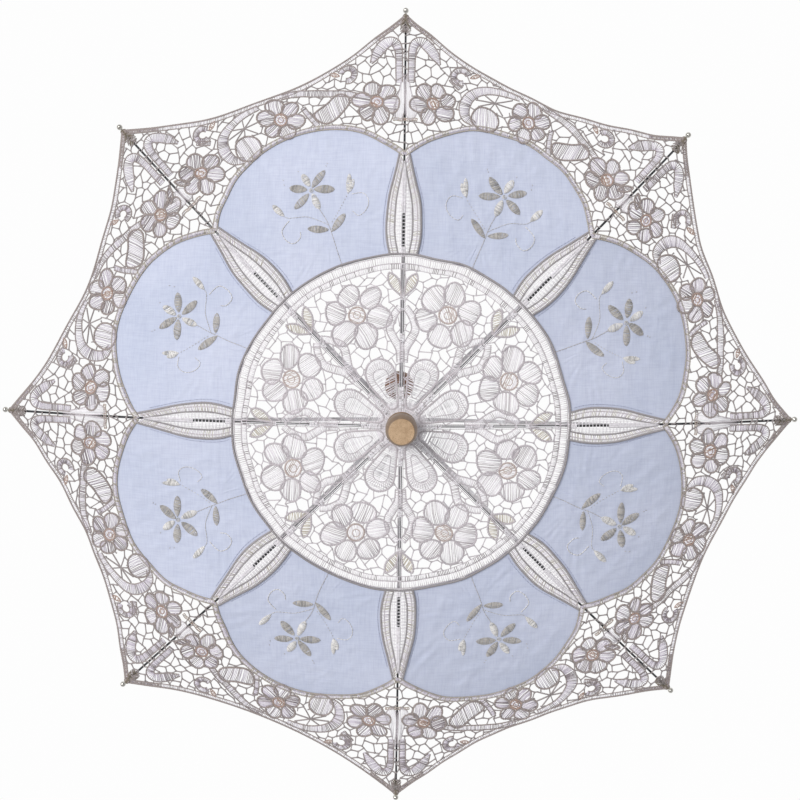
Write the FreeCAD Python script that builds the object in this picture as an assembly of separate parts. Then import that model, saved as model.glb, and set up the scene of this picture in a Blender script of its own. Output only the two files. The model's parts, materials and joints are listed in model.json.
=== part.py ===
"""Lace parasol: a wooden handle and shaft, an eight-rib folding frame, a runner
with its two spring latches, a turned ferrule knob and an eight-gore canopy.

Millimetres. The origin is the middle of the handle's flat end, and +Z runs up
the shaft to the ferrule knob. The parasol is open, with rib 1 along +X.
"""
import FreeCAD, Part
import math
import os
from FreeCAD import Placement, Rotation, Vector

# ---- Driving dimensions ------------------------------------------------------
RIB_COUNT = 8
OVERALL_LENGTH = 670.0
TIP_RADIUS = 400.0          # shaft axis to the middle of a rib's end ball

# Shaft
SHAFT_RADIUS = 5.0
SHAFT_BORE = 4.2
SHAFT_BOTTOM = 60.0         # inside the handle
SHAFT_TOP = 646.0           # inside the knob

# Crown: the notched ring that holds the ribs' eyes on a wire
CROWN_Z = 622.0             # height of the crown wire
HINGE_RADIUS = 10.5         # shaft axis to the wire, at the crown and the runner
NOTCH_RADIUS = 13.0
NOTCH_BELOW = 6.0
NOTCH_ABOVE = 4.0
SLOT_FLOOR_RADIUS = 8.2
SLOT_WIDTH = 1.6
SLOT_ROOF = 2.3             # above the wire
WIRE_RADIUS = 0.5
EYE_RADIUS = 1.8
EYE_HOLE = 0.6
EYE_THICKNESS = 1.2
EYE_LENGTH = 16.0           # flat end of a rib or stretcher
FABRIC_GAP = 0.7            # room for the cloth between notch and cap
CAP_RADIUS = 13.6

# Ribs: a channel, open below, bent to a circular arc
RIB_START_SLOPE = math.radians(5.0)
RIB_END_SLOPE = math.radians(29.5)
RIB_WIDTH = 2.0
RIB_HEIGHT = 2.6
RIB_WALL = 0.5
CHANNEL_START = 9.0         # from an eye's middle to where the full channel begins

# Rib tips
TIP_SLEEVE_RADIUS = 2.4
TIP_BORE_RADIUS = 1.75
TIP_SLEEVE_LENGTH = 11.0
TIP_CAP = 1.2
TIP_NECK_RADIUS = 1.3
TIP_BALL_RADIUS = 2.8
TIP_BALL_REACH = 8.5        # rib end to the middle of the ball

# Stretchers: a channel, open below, that straddles its rib
PIVOT_CHORD = 195.0         # crown wire to rib rivet, and rib rivet to runner wire
STRETCHER_WIDTH = 3.4
STRETCHER_INNER = 2.4
STRETCHER_HEIGHT = 3.4
STRETCHER_WEB = 0.6
FORK_LENGTH = 9.0           # where the web stays clear of the rib
RIVET_RADIUS = 0.75
RIVET_HOLE = 0.8
RIVET_HEAD_RADIUS = 1.5
RIVET_HEAD_HEIGHT = 0.7
RIVET_HEAD_GAP = 0.1

# Runner
RUNNER_BORE = 5.1
RUNNER_SLEEVE_RADIUS = 7.5
RUNNER_SLEEVE_LENGTH = 45.0
RUNNER_FLANGE = 5.0         # above and below the runner wire
RUNNER_BEAD_RADIUS = 9.0
RUNNER_BEAD_HEIGHT = 4.0

# Latches: flat spring blades in the shaft's slots
LATCH_AZIMUTH = 22.5
LATCH_LENGTH = 34.0         # pin to shoulder
LATCH_THICKNESS = 1.4
LATCH_SLOT = 1.8
LATCH_REACH = 8.0           # shaft axis to the shoulder's edge
LATCH_PIN_RADIUS = 0.6
LATCH_EYE = 0.65
LATCH_GAP = 0.3
WINDOW_BELOW_WIRE = 24.0    # runner wire to the lower edge of the runner's window
WINDOW_HEIGHT = 20.0
STOP_PIN_RADIUS = 0.8
STOP_PIN_LENGTH = 14.0

# Handle: height and radius of each ring of its turned outline
HANDLE_TOP = 118.0
HANDLE_BALL_RADIUS = 21.0
HANDLE_BAND_LOW = 14.0
HANDLE_BAND_HIGH = 24.0
HANDLE_FOOT_RADIUS = 11.0
COLLAR_HEIGHT = 8.0
COLLAR_RADIUS = 7.6

# Ferrule knob
KNOB_BOTTOM = CROWN_Z + NOTCH_ABOVE + FABRIC_GAP + 1.8
KNOB_RADIUS = 14.0
KNOB_BAND_LOW = 646.0
KNOB_BAND_HIGH = 657.0
KNOB_FACE_RADIUS = 10.8
KNOB_WAIST_RADIUS = 7.0

# Canopy, as seen along the shaft: eight gores between the ribs
CANOPY_LIFT = 2.3           # above the ribs' centreline
CANOPY_THICKNESS = 0.8
CANOPY_INNER = 16.2
CANOPY_CORNER = 394.0       # shaft axis to the hem's corner on a rib
CANOPY_HEM_MIDDLE = 335.0   # shaft axis to the middle of a gore's hem
GORE_SEAM_GAP = 0.1
TIP_CLEARANCE = 0.2
HEM_POINTS = 9

# ---- Worked out from these ---------------------------------------------------
RIB_END_RADIUS = TIP_RADIUS - TIP_BALL_REACH * math.cos(RIB_END_SLOPE)
ARC_RADIUS = (RIB_END_RADIUS - HINGE_RADIUS) / (math.sin(RIB_END_SLOPE) - math.sin(RIB_START_SLOPE))
ARC_CENTRE_R = HINGE_RADIUS - ARC_RADIUS * math.sin(RIB_START_SLOPE)
ARC_CENTRE_Z = CROWN_Z - ARC_RADIUS * math.cos(RIB_START_SLOPE)
PIVOT_ARC = 2 * math.asin(PIVOT_CHORD / (2 * ARC_RADIUS))
PIVOT_SLOPE = RIB_START_SLOPE + PIVOT_ARC / 2
PIVOT_R = HINGE_RADIUS + PIVOT_CHORD * math.cos(PIVOT_SLOPE)
PIVOT_Z = CROWN_Z - PIVOT_CHORD * math.sin(PIVOT_SLOPE)
RUNNER_Z = CROWN_Z - 2 * PIVOT_CHORD * math.sin(PIVOT_SLOPE)
SLEEVE_BOTTOM = RUNNER_Z - RUNNER_FLANGE - RUNNER_SLEEVE_LENGTH
FOLD_ANGLE = math.radians(72.0)
CLOSED_DROP = 2 * PIVOT_CHORD * math.sin(PIVOT_SLOPE + FOLD_ANGLE)
CLOSED_RUNNER_Z = CROWN_Z - CLOSED_DROP
HALF_GORE = math.pi / RIB_COUNT
TURN_AXIS = Vector(0, 1, 0)
UP = Vector(0, 0, 1)


# ---- Helpers -----------------------------------------------------------------
def save(name, shape):
    """Write one sub-part."""
    shape.exportStep("parts/" + name + ".step")


def around(shape, azimuth):
    """A copy turned about the shaft, azimuth in degrees from +X."""
    turned = shape.copy()
    turned.rotate(Vector(0, 0, 0), UP, azimuth)
    return turned


def each_rib():
    """Number and azimuth of every rib."""
    return [(i + 1, 360.0 * i / RIB_COUNT) for i in range(RIB_COUNT)]


def tube(outer, inner, z0, z1):
    """An upright tube about the shaft axis."""
    body = Part.makeCylinder(outer, z1 - z0, Vector(0, 0, z0))
    return body.cut(Part.makeCylinder(inner, z1 - z0 + 2, Vector(0, 0, z0 - 1)))


def cross_pin(radius, length, r, z):
    """A pin square to the X-Z plane, at radius r and height z."""
    return Part.makeCylinder(radius, length, Vector(r, -length / 2, z), TURN_AXIS)


def plate(points, thickness):
    """A flat plate with the outline given as (radius, height) points."""
    corners = [Vector(r, -thickness / 2, z) for r, z in points]
    return Part.Face(Part.makePolygon(corners + corners[:1])).extrude(Vector(0, thickness, 0))


def turned(profile):
    """A solid turned about the shaft axis.

    The profile lists (radius, height) from the bottom to the top, and an entry
    with four numbers is an arc's end preceded by a point on the arc.
    """
    edges = []
    last = Vector(0, 0, profile[0][1])
    here = Vector(profile[0][0], 0, profile[0][1])
    edges.append(Part.makeLine(last, here))
    for point in profile[1:]:
        there = Vector(point[-2], 0, point[-1])
        if len(point) == 4:
            edges.append(Part.Arc(here, Vector(point[0], 0, point[1]), there).toShape())
        else:
            edges.append(Part.makeLine(here, there))
        here = there
    top = Vector(0, 0, here.z)
    edges.append(Part.makeLine(here, top))
    edges.append(Part.makeLine(top, last))
    return Part.Face(Part.Wire(edges)).revolve(Vector(0, 0, 0), UP, 360)


def rib_point(slope, offset=0.0):
    """A point of the rib's arc where it slopes down by this much."""
    radius = ARC_RADIUS + offset
    return ARC_CENTRE_R + radius * math.sin(slope), ARC_CENTRE_Z + radius * math.cos(slope)


def rib_height(radius):
    """Height of the rib's centreline at a distance from the shaft axis."""
    return ARC_CENTRE_Z + math.sqrt(ARC_RADIUS ** 2 - (radius - ARC_CENTRE_R) ** 2)


def bent_bar(width, low, high, start, end):
    """A bar with a rectangular section, bent along the rib's arc.

    low and high are offsets from the centreline; start and end are slopes.
    """
    corners = []
    for offset, side in ((low, -1), (high, -1), (high, 1), (low, 1)):
        r, z = rib_point(start, offset)
        corners.append(Vector(r, side * width / 2, z))
    section = Part.Face(Part.makePolygon(corners + corners[:1]))
    centre = Vector(ARC_CENTRE_R, 0, ARC_CENTRE_Z)
    return section.revolve(centre, TURN_AXIS, math.degrees(end - start))


def wire_ring(z):
    """The ring of wire that the eyes turn on, and the channel that it lies in."""
    return Part.makeTorus(HINGE_RADIUS, WIRE_RADIUS, Vector(0, 0, z))


def eye_slots(low, high):
    """One radial slot for each rib, between two heights."""
    reach = CAP_RADIUS + 4
    slot = Part.makeBox(reach - SLOT_FLOOR_RADIUS, SLOT_WIDTH, high - low,
                        Vector(SLOT_FLOOR_RADIUS, -SLOT_WIDTH / 2, low))
    slots = [around(slot, azimuth) for number, azimuth in each_rib()]
    return slots[0].multiFuse(slots[1:])


# ---- Shaft and its fittings --------------------------------------------------
def latch_slot(shoulder_z, direction):
    """The slot that a latch swings through, cut in one wall of the shaft."""
    low = min(shoulder_z - direction * (LATCH_LENGTH + 3), shoulder_z + direction * 0.6)
    height = LATCH_LENGTH + 3.6
    slot = Part.makeBox(SHAFT_RADIUS + 1, LATCH_SLOT, height, Vector(0, -LATCH_SLOT / 2, low))
    pin = cross_pin(LATCH_PIN_RADIUS, 2 * SHAFT_RADIUS, 0, shoulder_z - direction * LATCH_LENGTH)
    return around(slot.fuse(pin), LATCH_AZIMUTH)


def latch_blade(shoulder_z, direction):
    """A latch: an eye on its pin, a blade, a sloped tooth and an inner stop.

    direction is +1 when the shoulder faces up and -1 when it faces down.
    """
    outline = [(-1.5, -LATCH_LENGTH), (0.5, 0), (0.5, 3), (3.9, 3), (3.9, 0),
               (LATCH_REACH, 0), (LATCH_REACH, -1.2), (3.9, -17), (1.5, -LATCH_LENGTH)]
    points = [(r, shoulder_z + direction * z) for r, z in outline]
    pin_z = shoulder_z - direction * LATCH_LENGTH
    blade = plate(points, LATCH_THICKNESS).fuse(cross_pin(1.6, LATCH_THICKNESS, 0, pin_z))
    blade = blade.cut(cross_pin(LATCH_EYE, LATCH_THICKNESS + 2, 0, pin_z))
    return around(blade.removeSplitter(), LATCH_AZIMUTH)


def latch_pin(shoulder_z, direction):
    """The pin across the shaft that a latch turns on."""
    pin = cross_pin(LATCH_PIN_RADIUS, 2 * SHAFT_RADIUS - 0.4, 0, shoulder_z - direction * LATCH_LENGTH)
    return around(pin, LATCH_AZIMUTH)


TOP_SHOULDER_Z = SLEEVE_BOTTOM - LATCH_GAP
WINDOW_LOW = CLOSED_RUNNER_Z - WINDOW_BELOW_WIRE
BOTTOM_SHOULDER_Z = WINDOW_LOW + LATCH_GAP
STOP_PIN_Z = RUNNER_Z + RUNNER_FLANGE + STOP_PIN_RADIUS + LATCH_GAP


def make_shaft():
    """The metal tube, its stop pin and the two latches with their pins."""
    shaft = tube(SHAFT_RADIUS, SHAFT_BORE, SHAFT_BOTTOM, SHAFT_TOP)
    stop_pin = around(cross_pin(STOP_PIN_RADIUS, STOP_PIN_LENGTH, 0, STOP_PIN_Z), -LATCH_AZIMUTH)
    shaft = shaft.cut(stop_pin)
    latches = {"top_latch": (TOP_SHOULDER_Z, 1), "bottom_latch": (BOTTOM_SHOULDER_Z, -1)}
    for name, (shoulder_z, direction) in latches.items():
        shaft = shaft.cut(latch_slot(shoulder_z, direction))
        save(name, latch_blade(shoulder_z, direction))
        save(name + "_pin", latch_pin(shoulder_z, direction))
    save("shaft_tube", shaft)
    save("runner_stop_pin", stop_pin)


def make_handle():
    """The turned wooden handle, with a round end, and its metal collar."""
    profile = [
        (HANDLE_FOOT_RADIUS, 0),
        (17.6, 4.6, HANDLE_BALL_RADIUS, HANDLE_BAND_LOW),
        (HANDLE_BALL_RADIUS, HANDLE_BAND_HIGH),
        (18.2, 34.0, 10.5, 41.0),
        (8.2, 43.5, 8.0, 47.0),
        (8.0, 50.0),
        (10.0, 52.0, 8.0, 54.0),
        (9.2, 72.0, 8.4, 96.0),
        (8.4, 100.0),
        (10.2, 103.0, 8.6, 106.0),
        (8.0, HANDLE_TOP),
    ]
    handle = turned(profile)
    bore = Part.makeCylinder(SHAFT_RADIUS, HANDLE_TOP, Vector(0, 0, SHAFT_BOTTOM))
    save("handle", handle.cut(bore))
    collar = turned([
        (COLLAR_RADIUS, HANDLE_TOP),
        (COLLAR_RADIUS, HANDLE_TOP + 5),
        (COLLAR_RADIUS - 0.5, HANDLE_TOP + COLLAR_HEIGHT - 0.9, SHAFT_RADIUS + 0.8, HANDLE_TOP + COLLAR_HEIGHT),
    ])
    bore = Part.makeCylinder(SHAFT_RADIUS, 2 * COLLAR_HEIGHT, Vector(0, 0, HANDLE_TOP - 1))
    save("handle_collar", collar.cut(bore))


def make_knob():
    """The turned wooden knob that finishes the shaft above the canopy."""
    knob = turned([
        (KNOB_WAIST_RADIUS + 1.5, KNOB_BOTTOM),
        (KNOB_WAIST_RADIUS + 1.5, KNOB_BOTTOM + 2),
        (KNOB_WAIST_RADIUS, KNOB_BOTTOM + 4.5, KNOB_WAIST_RADIUS + 0.6, KNOB_BOTTOM + 8),
        (KNOB_RADIUS - 1.0, KNOB_BAND_LOW - 5.5, KNOB_RADIUS, KNOB_BAND_LOW),
        (KNOB_RADIUS, KNOB_BAND_HIGH),
        (KNOB_RADIUS - 0.6, KNOB_BAND_HIGH + 5.5, KNOB_FACE_RADIUS + 0.8, OVERALL_LENGTH - 0.8),
        (KNOB_FACE_RADIUS + 0.57, OVERALL_LENGTH - 0.23, KNOB_FACE_RADIUS, OVERALL_LENGTH),
    ])
    socket = Part.makeCylinder(SHAFT_RADIUS, SHAFT_TOP - KNOB_BOTTOM + 1, Vector(0, 0, KNOB_BOTTOM - 1))
    save("ferrule_knob", knob.cut(socket))


def make_crown():
    """The top notch with its wire, and the cap that holds the canopy down."""
    notch = tube(NOTCH_RADIUS, SHAFT_RADIUS, CROWN_Z - NOTCH_BELOW, CROWN_Z + NOTCH_ABOVE)
    notch = notch.cut(eye_slots(CROWN_Z - NOTCH_BELOW - 1, CROWN_Z + SLOT_ROOF))
    wire = wire_ring(CROWN_Z)
    save("top_notch", notch.cut(wire))
    save("notch_wire", wire)
    cap_bottom = CROWN_Z + NOTCH_ABOVE + FABRIC_GAP
    cap = turned([
        (CAP_RADIUS, cap_bottom),
        (CAP_RADIUS, cap_bottom + 0.7),
        (CAP_RADIUS - 0.75, cap_bottom + 1.4, CAP_RADIUS - 2.0, KNOB_BOTTOM),
    ])
    bore = Part.makeCylinder(SHAFT_RADIUS, 10, Vector(0, 0, cap_bottom - 5))
    save("crown_cap", cap.cut(bore))


# ---- Runner ------------------------------------------------------------------
def make_runner():
    """The sliding sleeve, with the slotted ring for the stretchers on top."""
    ring_low = RUNNER_Z - RUNNER_FLANGE
    ring_high = RUNNER_Z + RUNNER_FLANGE
    runner = tube(NOTCH_RADIUS, RUNNER_BORE, ring_low, ring_high)
    runner = runner.cut(eye_slots(ring_low + 1.2, ring_high + 1))
    runner = runner.fuse(tube(RUNNER_SLEEVE_RADIUS, RUNNER_BORE, SLEEVE_BOTTOM, ring_low + 1))
    runner = runner.fuse(tube(RUNNER_BEAD_RADIUS, RUNNER_BORE, SLEEVE_BOTTOM, SLEEVE_BOTTOM + RUNNER_BEAD_HEIGHT))
    window = Part.makeBox(2 * RUNNER_BEAD_RADIUS, LATCH_SLOT, WINDOW_HEIGHT,
                          Vector(0, -LATCH_SLOT / 2, RUNNER_Z - WINDOW_BELOW_WIRE))
    runner = runner.cut(around(window, LATCH_AZIMUTH))
    wire = wire_ring(RUNNER_Z)
    save("runner", runner.cut(wire).removeSplitter())
    save("runner_wire", wire)


# ---- Ribs and stretchers -----------------------------------------------------
def make_rib():
    """One rib at +X: eye, flat end and the channel."""
    rivet_slope = RIB_START_SLOPE + PIVOT_ARC
    eye_end = RIB_START_SLOPE + EYE_LENGTH / ARC_RADIUS
    channel_start = RIB_START_SLOPE + CHANNEL_START / ARC_RADIUS
    half = RIB_HEIGHT / 2
    channel = bent_bar(RIB_WIDTH, -half, half, channel_start, RIB_END_SLOPE)
    groove = bent_bar(RIB_WIDTH - 2 * RIB_WALL, -half - 1, half - RIB_WALL,
                      channel_start - 0.01, RIB_END_SLOPE + 0.01)
    flat = bent_bar(EYE_THICKNESS, -half, half, RIB_START_SLOPE, eye_end)
    rib = channel.cut(groove).fuse([flat, cross_pin(EYE_RADIUS, EYE_THICKNESS, HINGE_RADIUS, CROWN_Z)])
    rib = rib.cut(cross_pin(EYE_HOLE, 4, HINGE_RADIUS, CROWN_Z))
    rivet_r, rivet_z = rib_point(rivet_slope)
    return rib.cut(cross_pin(RIVET_RADIUS, 6, rivet_r, rivet_z)).removeSplitter()


def tip_placement():
    """Puts a tip's own axis in line with the rib's end at +X."""
    end_r, end_z = rib_point(RIB_END_SLOPE)
    lean = 90 + math.degrees(RIB_END_SLOPE)
    return Placement(Vector(end_r, 0, end_z), Rotation(TURN_AXIS, lean))


def make_rib_tip():
    """The metal cap and ball on the end of a rib, at +X."""
    tip = turned([
        (TIP_SLEEVE_RADIUS, -TIP_SLEEVE_LENGTH),
        (TIP_SLEEVE_RADIUS, 0),
        (TIP_SLEEVE_RADIUS - 0.2, 0.8, TIP_NECK_RADIUS, TIP_CAP),
        (TIP_NECK_RADIUS, TIP_BALL_REACH - TIP_BALL_RADIUS + 1),
    ])
    ball = Part.makeSphere(TIP_BALL_RADIUS, Vector(0, 0, TIP_BALL_REACH))
    bore = Part.makeCylinder(TIP_BORE_RADIUS, TIP_SLEEVE_LENGTH + 1, Vector(0, 0, -TIP_SLEEVE_LENGTH - 1))
    tip = tip.fuse(ball).cut(bore)
    tip.Placement = tip_placement()
    return tip


def make_rivet():
    """The rivet that joins a stretcher to its rib, at +X."""
    shank = STRETCHER_WIDTH + 2 * RIVET_HEAD_GAP
    rivet = cross_pin(RIVET_RADIUS, shank + 2 * RIVET_HEAD_HEIGHT, PIVOT_R, PIVOT_Z)
    for side in (-1, 1):
        start = side * shank / 2
        head = Part.makeCylinder(RIVET_HEAD_RADIUS, RIVET_HEAD_HEIGHT,
                                 Vector(PIVOT_R, start, PIVOT_Z), Vector(0, side, 0))
        rivet = rivet.fuse(head)
    return rivet.removeSplitter()


def make_stretcher():
    """One stretcher at +X: a fork on the rib, a channel and an eye on the runner."""
    half = STRETCHER_HEIGHT / 2
    length = PIVOT_CHORD
    channel = Part.makeBox(length - CHANNEL_START, STRETCHER_WIDTH, STRETCHER_HEIGHT,
                           Vector(0, -STRETCHER_WIDTH / 2, -half))
    channel = channel.fuse(cross_pin(half, STRETCHER_WIDTH, 0, 0))
    groove = Part.makeBox(length + 8, STRETCHER_INNER, STRETCHER_HEIGHT - STRETCHER_WEB + 1,
                          Vector(-4, -STRETCHER_INNER / 2, -half - 1))
    fork = Part.makeBox(FORK_LENGTH + 4, STRETCHER_INNER, STRETCHER_HEIGHT + 2,
                        Vector(-4, -STRETCHER_INNER / 2, -half - 1))
    flat = Part.makeBox(EYE_LENGTH, EYE_THICKNESS, 2 * half, Vector(length - EYE_LENGTH, -EYE_THICKNESS / 2, -half))
    stretcher = channel.cut([groove, fork]).fuse([flat, cross_pin(half, EYE_THICKNESS, length, 0)])
    stretcher = stretcher.cut([cross_pin(RIVET_HOLE, 8, 0, 0), cross_pin(EYE_HOLE, 4, length, 0)])
    # Local X runs from the rivet in to the runner, and local Z is the web's side.
    stretcher.rotate(Vector(0, 0, 0), UP, 180)
    stretcher.rotate(Vector(0, 0, 0), TURN_AXIS, -math.degrees(PIVOT_SLOPE))
    stretcher.translate(Vector(PIVOT_R, 0, PIVOT_Z))
    return stretcher.removeSplitter()


# ---- Canopy ------------------------------------------------------------------
def gore_surface(lift):
    """The gore's mid-line at a lift above the rib centreline, as a curve in X-Z."""
    start = CANOPY_INNER * 0.8
    end = CANOPY_CORNER * math.cos(HALF_GORE) + 6
    points = []
    for k in range(HEM_POINTS):
        along = start + (end - start) * k / (HEM_POINTS - 1)
        points.append(Vector(along, 0, rib_height(along / math.cos(HALF_GORE)) + lift))
    curve = Part.BSplineCurve()
    curve.interpolate(points)
    return curve.toShape()


def half_gore(side):
    """Half a gore, beside the rib at +X; side is the half's own side of the rib."""
    low = gore_surface(CANOPY_LIFT)
    high = gore_surface(CANOPY_LIFT + CANOPY_THICKNESS)
    ends = [Part.makeLine(low.Vertexes[k].Point, high.Vertexes[k].Point) for k in (0, 1)]
    section = Part.Face(Part.Wire(Part.__sortEdges__([low, high] + ends)))
    strip = section.extrude(Vector(0, 2 * CANOPY_CORNER, 0))
    strip.translate(Vector(0, -CANOPY_CORNER, 0))
    corner_along = CANOPY_CORNER * math.cos(HALF_GORE)
    corner_across = CANOPY_CORNER * math.sin(HALF_GORE)
    inner_along = CANOPY_INNER * math.cos(HALF_GORE)
    inner_across = CANOPY_INNER * math.sin(HALF_GORE)
    bulge = (corner_along - CANOPY_HEM_MIDDLE) / corner_across ** 2
    hem = []
    for k in range(HEM_POINTS):
        across = corner_across + (GORE_SEAM_GAP - corner_across) * k / (HEM_POINTS - 1)
        hem.append(Vector(CANOPY_HEM_MIDDLE + bulge * across ** 2, across, 0))
    curve = Part.BSplineCurve()
    curve.interpolate(hem)
    inner_corner = Vector(inner_along, inner_across, 0)
    seam_foot = Vector(inner_along, GORE_SEAM_GAP, 0)
    edges = [
        curve.toShape(),
        Part.makeLine(hem[-1], seam_foot),
        Part.makeLine(seam_foot, inner_corner),
        Part.makeLine(inner_corner, hem[0]),
    ]
    prism = Part.Face(Part.Wire(edges)).extrude(Vector(0, 0, OVERALL_LENGTH))
    half = strip.common(prism)
    # In the gore's own frame this half lies at +Y, so its rib is the next one round.
    half = around(half, -math.degrees(HALF_GORE))
    if side > 0:
        half = half.mirror(Vector(0, 0, 0), Vector(0, 1, 0))
    return half


def make_sector():
    """The canopy beside one rib: the two half gores that meet on it.

    Its corner is open around the rib's tip.
    """
    sector = half_gore(-1).fuse(half_gore(1)).removeSplitter()
    room = Part.makeCylinder(TIP_SLEEVE_RADIUS + TIP_CLEARANCE, 4 * TIP_SLEEVE_LENGTH,
                             Vector(0, 0, -TIP_SLEEVE_LENGTH - 1))
    room.Placement = tip_placement()
    return sector.cut(room)


def main():
    """Write every sub-part."""
    os.makedirs("parts", exist_ok=True)
    make_shaft()
    make_handle()
    make_knob()
    make_crown()
    make_runner()
    repeated = {
        "rib": make_rib(),
        "rib_tip": make_rib_tip(),
        "rivet": make_rivet(),
        "stretcher": make_stretcher(),
        "canopy_sector": make_sector(),
    }
    for name, shape in repeated.items():
        for number, azimuth in each_rib():
            save("%s_%d" % (name, number), around(shape, azimuth))


main()
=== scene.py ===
"""The lace parasol's looks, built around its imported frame.

Plan measurements are millimetres in a gore's own frame: d runs out from the shaft
along the gore's middle line and w runs across it, anticlockwise seen from above.
Gore 1 lies between ribs 1 and 2, and so on round. Each half gore is its own set of
pieces, so that it can ride on the rib beside it.
"""

import json
import math

import bpy
import numpy as np
from mathutils import Euler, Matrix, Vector


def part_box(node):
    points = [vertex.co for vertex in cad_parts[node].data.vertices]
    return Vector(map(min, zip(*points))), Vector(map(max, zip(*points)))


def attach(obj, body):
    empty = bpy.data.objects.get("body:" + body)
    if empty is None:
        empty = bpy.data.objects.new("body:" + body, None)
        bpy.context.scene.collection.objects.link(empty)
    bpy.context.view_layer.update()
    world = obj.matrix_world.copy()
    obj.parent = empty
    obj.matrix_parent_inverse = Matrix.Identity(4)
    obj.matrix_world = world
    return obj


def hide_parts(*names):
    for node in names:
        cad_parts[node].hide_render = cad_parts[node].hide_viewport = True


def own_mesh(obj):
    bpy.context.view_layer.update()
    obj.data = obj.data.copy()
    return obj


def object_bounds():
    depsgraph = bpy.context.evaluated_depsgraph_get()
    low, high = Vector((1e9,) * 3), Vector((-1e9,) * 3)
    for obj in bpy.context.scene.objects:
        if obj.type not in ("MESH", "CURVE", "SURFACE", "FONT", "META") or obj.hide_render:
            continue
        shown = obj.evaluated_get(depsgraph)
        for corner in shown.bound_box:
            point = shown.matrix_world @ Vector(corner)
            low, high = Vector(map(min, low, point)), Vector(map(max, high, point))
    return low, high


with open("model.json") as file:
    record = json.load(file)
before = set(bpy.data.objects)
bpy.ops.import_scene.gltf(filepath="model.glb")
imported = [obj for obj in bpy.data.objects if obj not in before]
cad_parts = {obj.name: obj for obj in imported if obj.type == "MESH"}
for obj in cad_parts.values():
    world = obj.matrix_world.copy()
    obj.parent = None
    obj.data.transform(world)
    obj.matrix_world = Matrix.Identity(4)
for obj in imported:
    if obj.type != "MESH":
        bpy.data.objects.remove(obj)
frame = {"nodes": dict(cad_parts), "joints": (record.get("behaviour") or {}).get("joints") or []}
cad_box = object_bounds()

MM = 0.001
SIDES = {"left": 1, "right": -1}    # of a gore's middle line: towards +w and towards -w

# ---- The frame's own shape ----
RIB_COUNT = sum(name.startswith("rib_tip_") for name in frame["nodes"])
HALF_GORE = math.pi / RIB_COUNT
HALF_GORE_DEGREES = math.degrees(HALF_GORE)
COS_HALF = math.cos(HALF_GORE)
SIN_HALF = math.sin(HALF_GORE)
RIB_START_SLOPE = math.radians(5.0)     # how a rib slopes at the crown


def joint_place(name):
    """Distance from the shaft axis and height of a joint, in millimetres."""
    x, y, z = next(j["pos_m"] for j in frame["joints"] if j["name"] == name)
    return math.hypot(x, y) / MM, z / MM


CROWN_R, CROWN_Z = joint_place("canopy_fold")
PIVOT_R, PIVOT_Z = joint_place("stretcher_1_hinge")
PIVOT_CHORD = math.hypot(PIVOT_R - CROWN_R, CROWN_Z - PIVOT_Z)
PIVOT_SLOPE = math.atan2(CROWN_Z - PIVOT_Z, PIVOT_R - CROWN_R)
ARC_RADIUS = PIVOT_CHORD / (2 * math.sin(PIVOT_SLOPE - RIB_START_SLOPE))
ARC_CENTRE_R = CROWN_R - ARC_RADIUS * math.sin(RIB_START_SLOPE)
ARC_CENTRE_Z = CROWN_Z - ARC_RADIUS * math.cos(RIB_START_SLOPE)
RIM_Z = (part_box("rib_tip_1")[0].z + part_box("rib_tip_1")[1].z) / 2
RIB_END_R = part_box("rib_1")[1].x / MM
CLOTH_ROOF = (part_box("top_notch")[1].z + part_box("crown_cap")[0].z) / (2 * MM)

# ---- Canopy, seen along the shaft ----
CLOTH_LIFT = 2.6            # above the ribs' centreline
CROWN_RISE = 2.5            # where the lace climbs to pass under the crown's cap
CROWN_RISE_FROM = 40.0
CROWN_RISE_TO = 13.0
LACE_INNER = 8.8
DISC_RADIUS = 155.7
DISC_TAPE = 8.7             # width of the disc's outer ladder
DISC_ROW = 4.6              # width of the finer ladder inside it
PANEL_CENTRE = 185.0        # middle of the panel's round outer edge
PANEL_RADIUS = 106.0
PANEL_TAPE = 5.6
PANEL_JOIN = (231.0, 95.7)      # where a panel's round edge meets the tip of a slot
HEM_MIDDLE = 335.0
CORNER = 395.0
CORNER_D = CORNER * COS_HALF
CORNER_W = CORNER * SIN_HALF
HEM_BULGE = (CORNER_D - HEM_MIDDLE) / CORNER_W ** 2
HEM_TAPE = 5.4
# Distance from the rib of each side of the tape round a slot, by distance from the shaft.
SLOT_OUTER = [(155.0, 12.0), (170.0, 15.4), (185.0, 16.3), (205.0, 14.6), (228.0, 9.4), (250.0, 4.6)]
SLOT_INNER = [(155.0, 4.6), (170.0, 7.6), (185.0, 8.4), (205.0, 7.2), (226.0, 3.4), (243.0, 0.5)]
SLOT_BARE = (163.0, 194.0)      # the stretch of a slot where the black rib shows between the rungs


def rib_height(radius):
    """Height of a rib's centreline at a distance from the shaft axis."""
    return ARC_CENTRE_Z + np.sqrt(ARC_RADIUS ** 2 - (radius - ARC_CENTRE_R) ** 2)


def smoothstep(t):
    """0 to 1 with a soft start and end."""
    t = np.clip(t, 0.0, 1.0)
    return t * t * (3 - 2 * t)


def cloth_height(d):
    """Height of the canopy at a distance d along a gore's middle line."""
    rise = CROWN_RISE * smoothstep((CROWN_RISE_FROM - d) / (CROWN_RISE_FROM - CROWN_RISE_TO))
    return np.minimum(rib_height(d / COS_HALF) + CLOTH_LIFT + rise, CLOTH_ROOF)


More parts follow.
